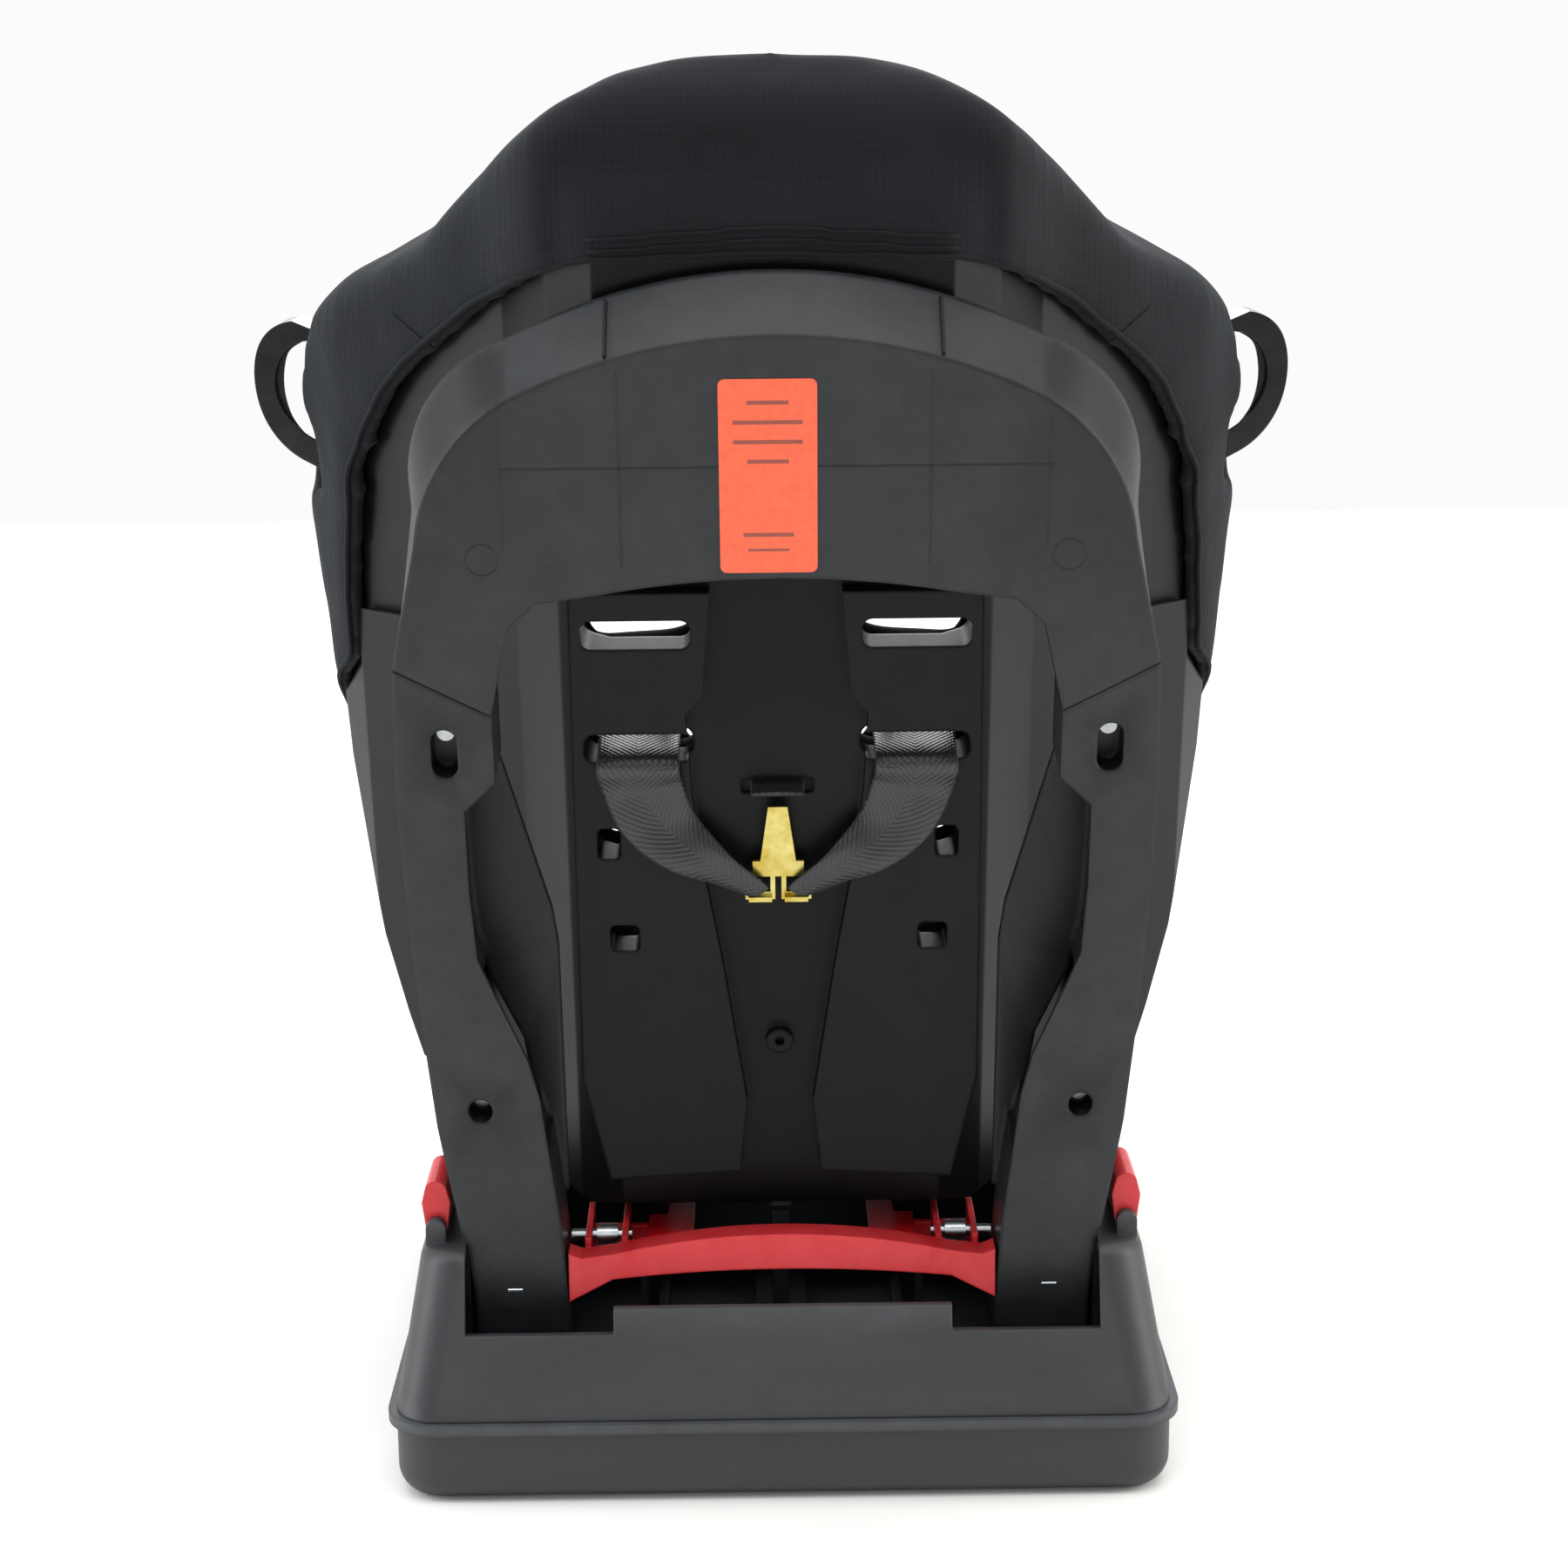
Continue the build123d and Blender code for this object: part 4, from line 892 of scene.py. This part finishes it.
def makeStage():
    mesh = bpy.data.meshes.new("studioFloor")
    half = stageSpec["size"] / 2
    mesh.from_pydata([(-half, -half, 0), (half, -half, 0), (half, half, 0), (-half, half, 0)], [],
                     [(0, 1, 2, 3)])
    floor = bpy.data.objects.new("studioFloor", mesh)
    bpy.context.scene.collection.objects.link(floor)
    material, tree, surface, place = startMaterial("pale studio paper", {"Roughness": 0.85})
    speck = addNode(tree, "ShaderNodeTexNoise", {"Scale": 3.0, "Detail": 2.0},
                    {"Vector": place.outputs["Object"]})
    darker, paler = stageSpec["floor"]
    tree.links.new(surface.inputs["Base Color"],
                   colourBlend(tree, speck.outputs["Fac"], (0.3, darker), (0.7, paler)))
    mesh.materials.append(material)
    world = bpy.data.worlds.new("studio") if not bpy.context.scene.world else bpy.context.scene.world
    bpy.context.scene.world = world
    world.use_nodes = True
    background = world.node_tree.nodes.get("Background")
    background.inputs["Color"].default_value = hexColour("#fbfbfb")
    tree = world.node_tree
    split = addNode(tree, "ShaderNodeSeparateXYZ",
                    links={"Vector": addNode(tree, "ShaderNodeTexCoord").outputs["Generated"]})
    front, rear = stageSpec["world"]  # the room is paler on the child's side
    strength = addNode(tree, "ShaderNodeMapRange",
                       {"From Min": -0.7, "From Max": 0.5, "To Min": front, "To Max": rear},
                       {"Value": split.outputs["Y"]})
    tree.links.new(background.inputs["Strength"], strength.outputs["Result"])


def addLight(name, spec):
    light = bpy.data.lights.new(name, "AREA")
    light.shape = "RECTANGLE"
    light.size, light.size_y = spec["size"]
    light.energy = spec["power"]
    light.color = hexColour(spec["colour"])[:3]
    lamp = bpy.data.objects.new(name, light)
    lamp.location = spec["from"]
    aim = Vector(spec["at"]) - Vector(spec["from"])
    lamp.rotation_euler = aim.to_track_quat("-Z", "Y").to_euler()
    bpy.context.scene.collection.objects.link(lamp)


lights = {
    "topSoftbox": {"from": (0, 0.9, 2.2), "at": (0, 0.1, 0.4), "size": (1.4, 1.0), "power": 10,
                   "colour": "#ffffff"},
    "leftSoftbox": {"from": (1.8, 0.35, 0.8), "at": (0.1, 0.1, 0.4), "size": (0.6, 1.8), "power": 26,
                    "colour": "#fbfdff"},
    "rightSoftbox": {"from": (-1.8, 0.35, 0.8), "at": (-0.1, 0.1, 0.4), "size": (0.6, 1.8), "power": 26,
                     "colour": "#fffdf9"},
    "rearFill": {"from": (0.3, 2.6, 1.5), "at": (0, 0.1, 0.35), "size": (1.6, 1.2), "power": 9,
                 "colour": "#ffffff"},
    "frontFill": {"from": (0.0, -2.4, 1.4), "at": (0, 0, 0.35), "size": (1.6, 1.2), "power": 22,
                  "colour": "#ffffff"},
}

cameraSpec = {"place": (7.5, 1526.4, 683.2), "pitch": 13.73, "yaw": -0.45, "roll": -0.55, "lens": 68.37}


def makeCamera():
    data = bpy.data.cameras.new("rearCamera")
    data.lens = cameraSpec["lens"]
    data.sensor_width = 36
    camera = bpy.data.objects.new("rearCamera", data)
    pitch, yaw, roll = (radians(cameraSpec[k]) for k in ("pitch", "yaw", "roll"))
    ahead = Vector((sin(yaw) * cos(pitch), -cos(yaw) * cos(pitch), -sin(pitch)))
    right = ahead.cross(Vector((0, 0, 1))).normalized()
    up = right.cross(ahead)
    right, up = right * cos(roll) + up * sin(roll), up * cos(roll) - right * sin(roll)
    turn = Matrix((right, up, -ahead)).transposed().to_4x4()
    camera.matrix_world = Matrix.Translation(Vector(cameraSpec["place"]) * mm) @ turn
    bpy.context.scene.collection.objects.link(camera)
    bpy.context.scene.camera = camera


ceilingSpec = {"strength": 1.6, "angle": 70}


def addCeiling():  # even light straight down, as from a white studio ceiling
    light = bpy.data.lights.new("studioCeiling", "SUN")
    light.energy = ceilingSpec["strength"]
    light.angle = radians(ceilingSpec["angle"])
    bpy.context.scene.collection.objects.link(bpy.data.objects.new("studioCeiling", light))


makeStage()
addCeiling()
for name, spec in lights.items():
    addLight(name, spec)
makeCamera()
bpy.context.scene.view_settings.view_transform = "Standard"
print("stage and camera made")
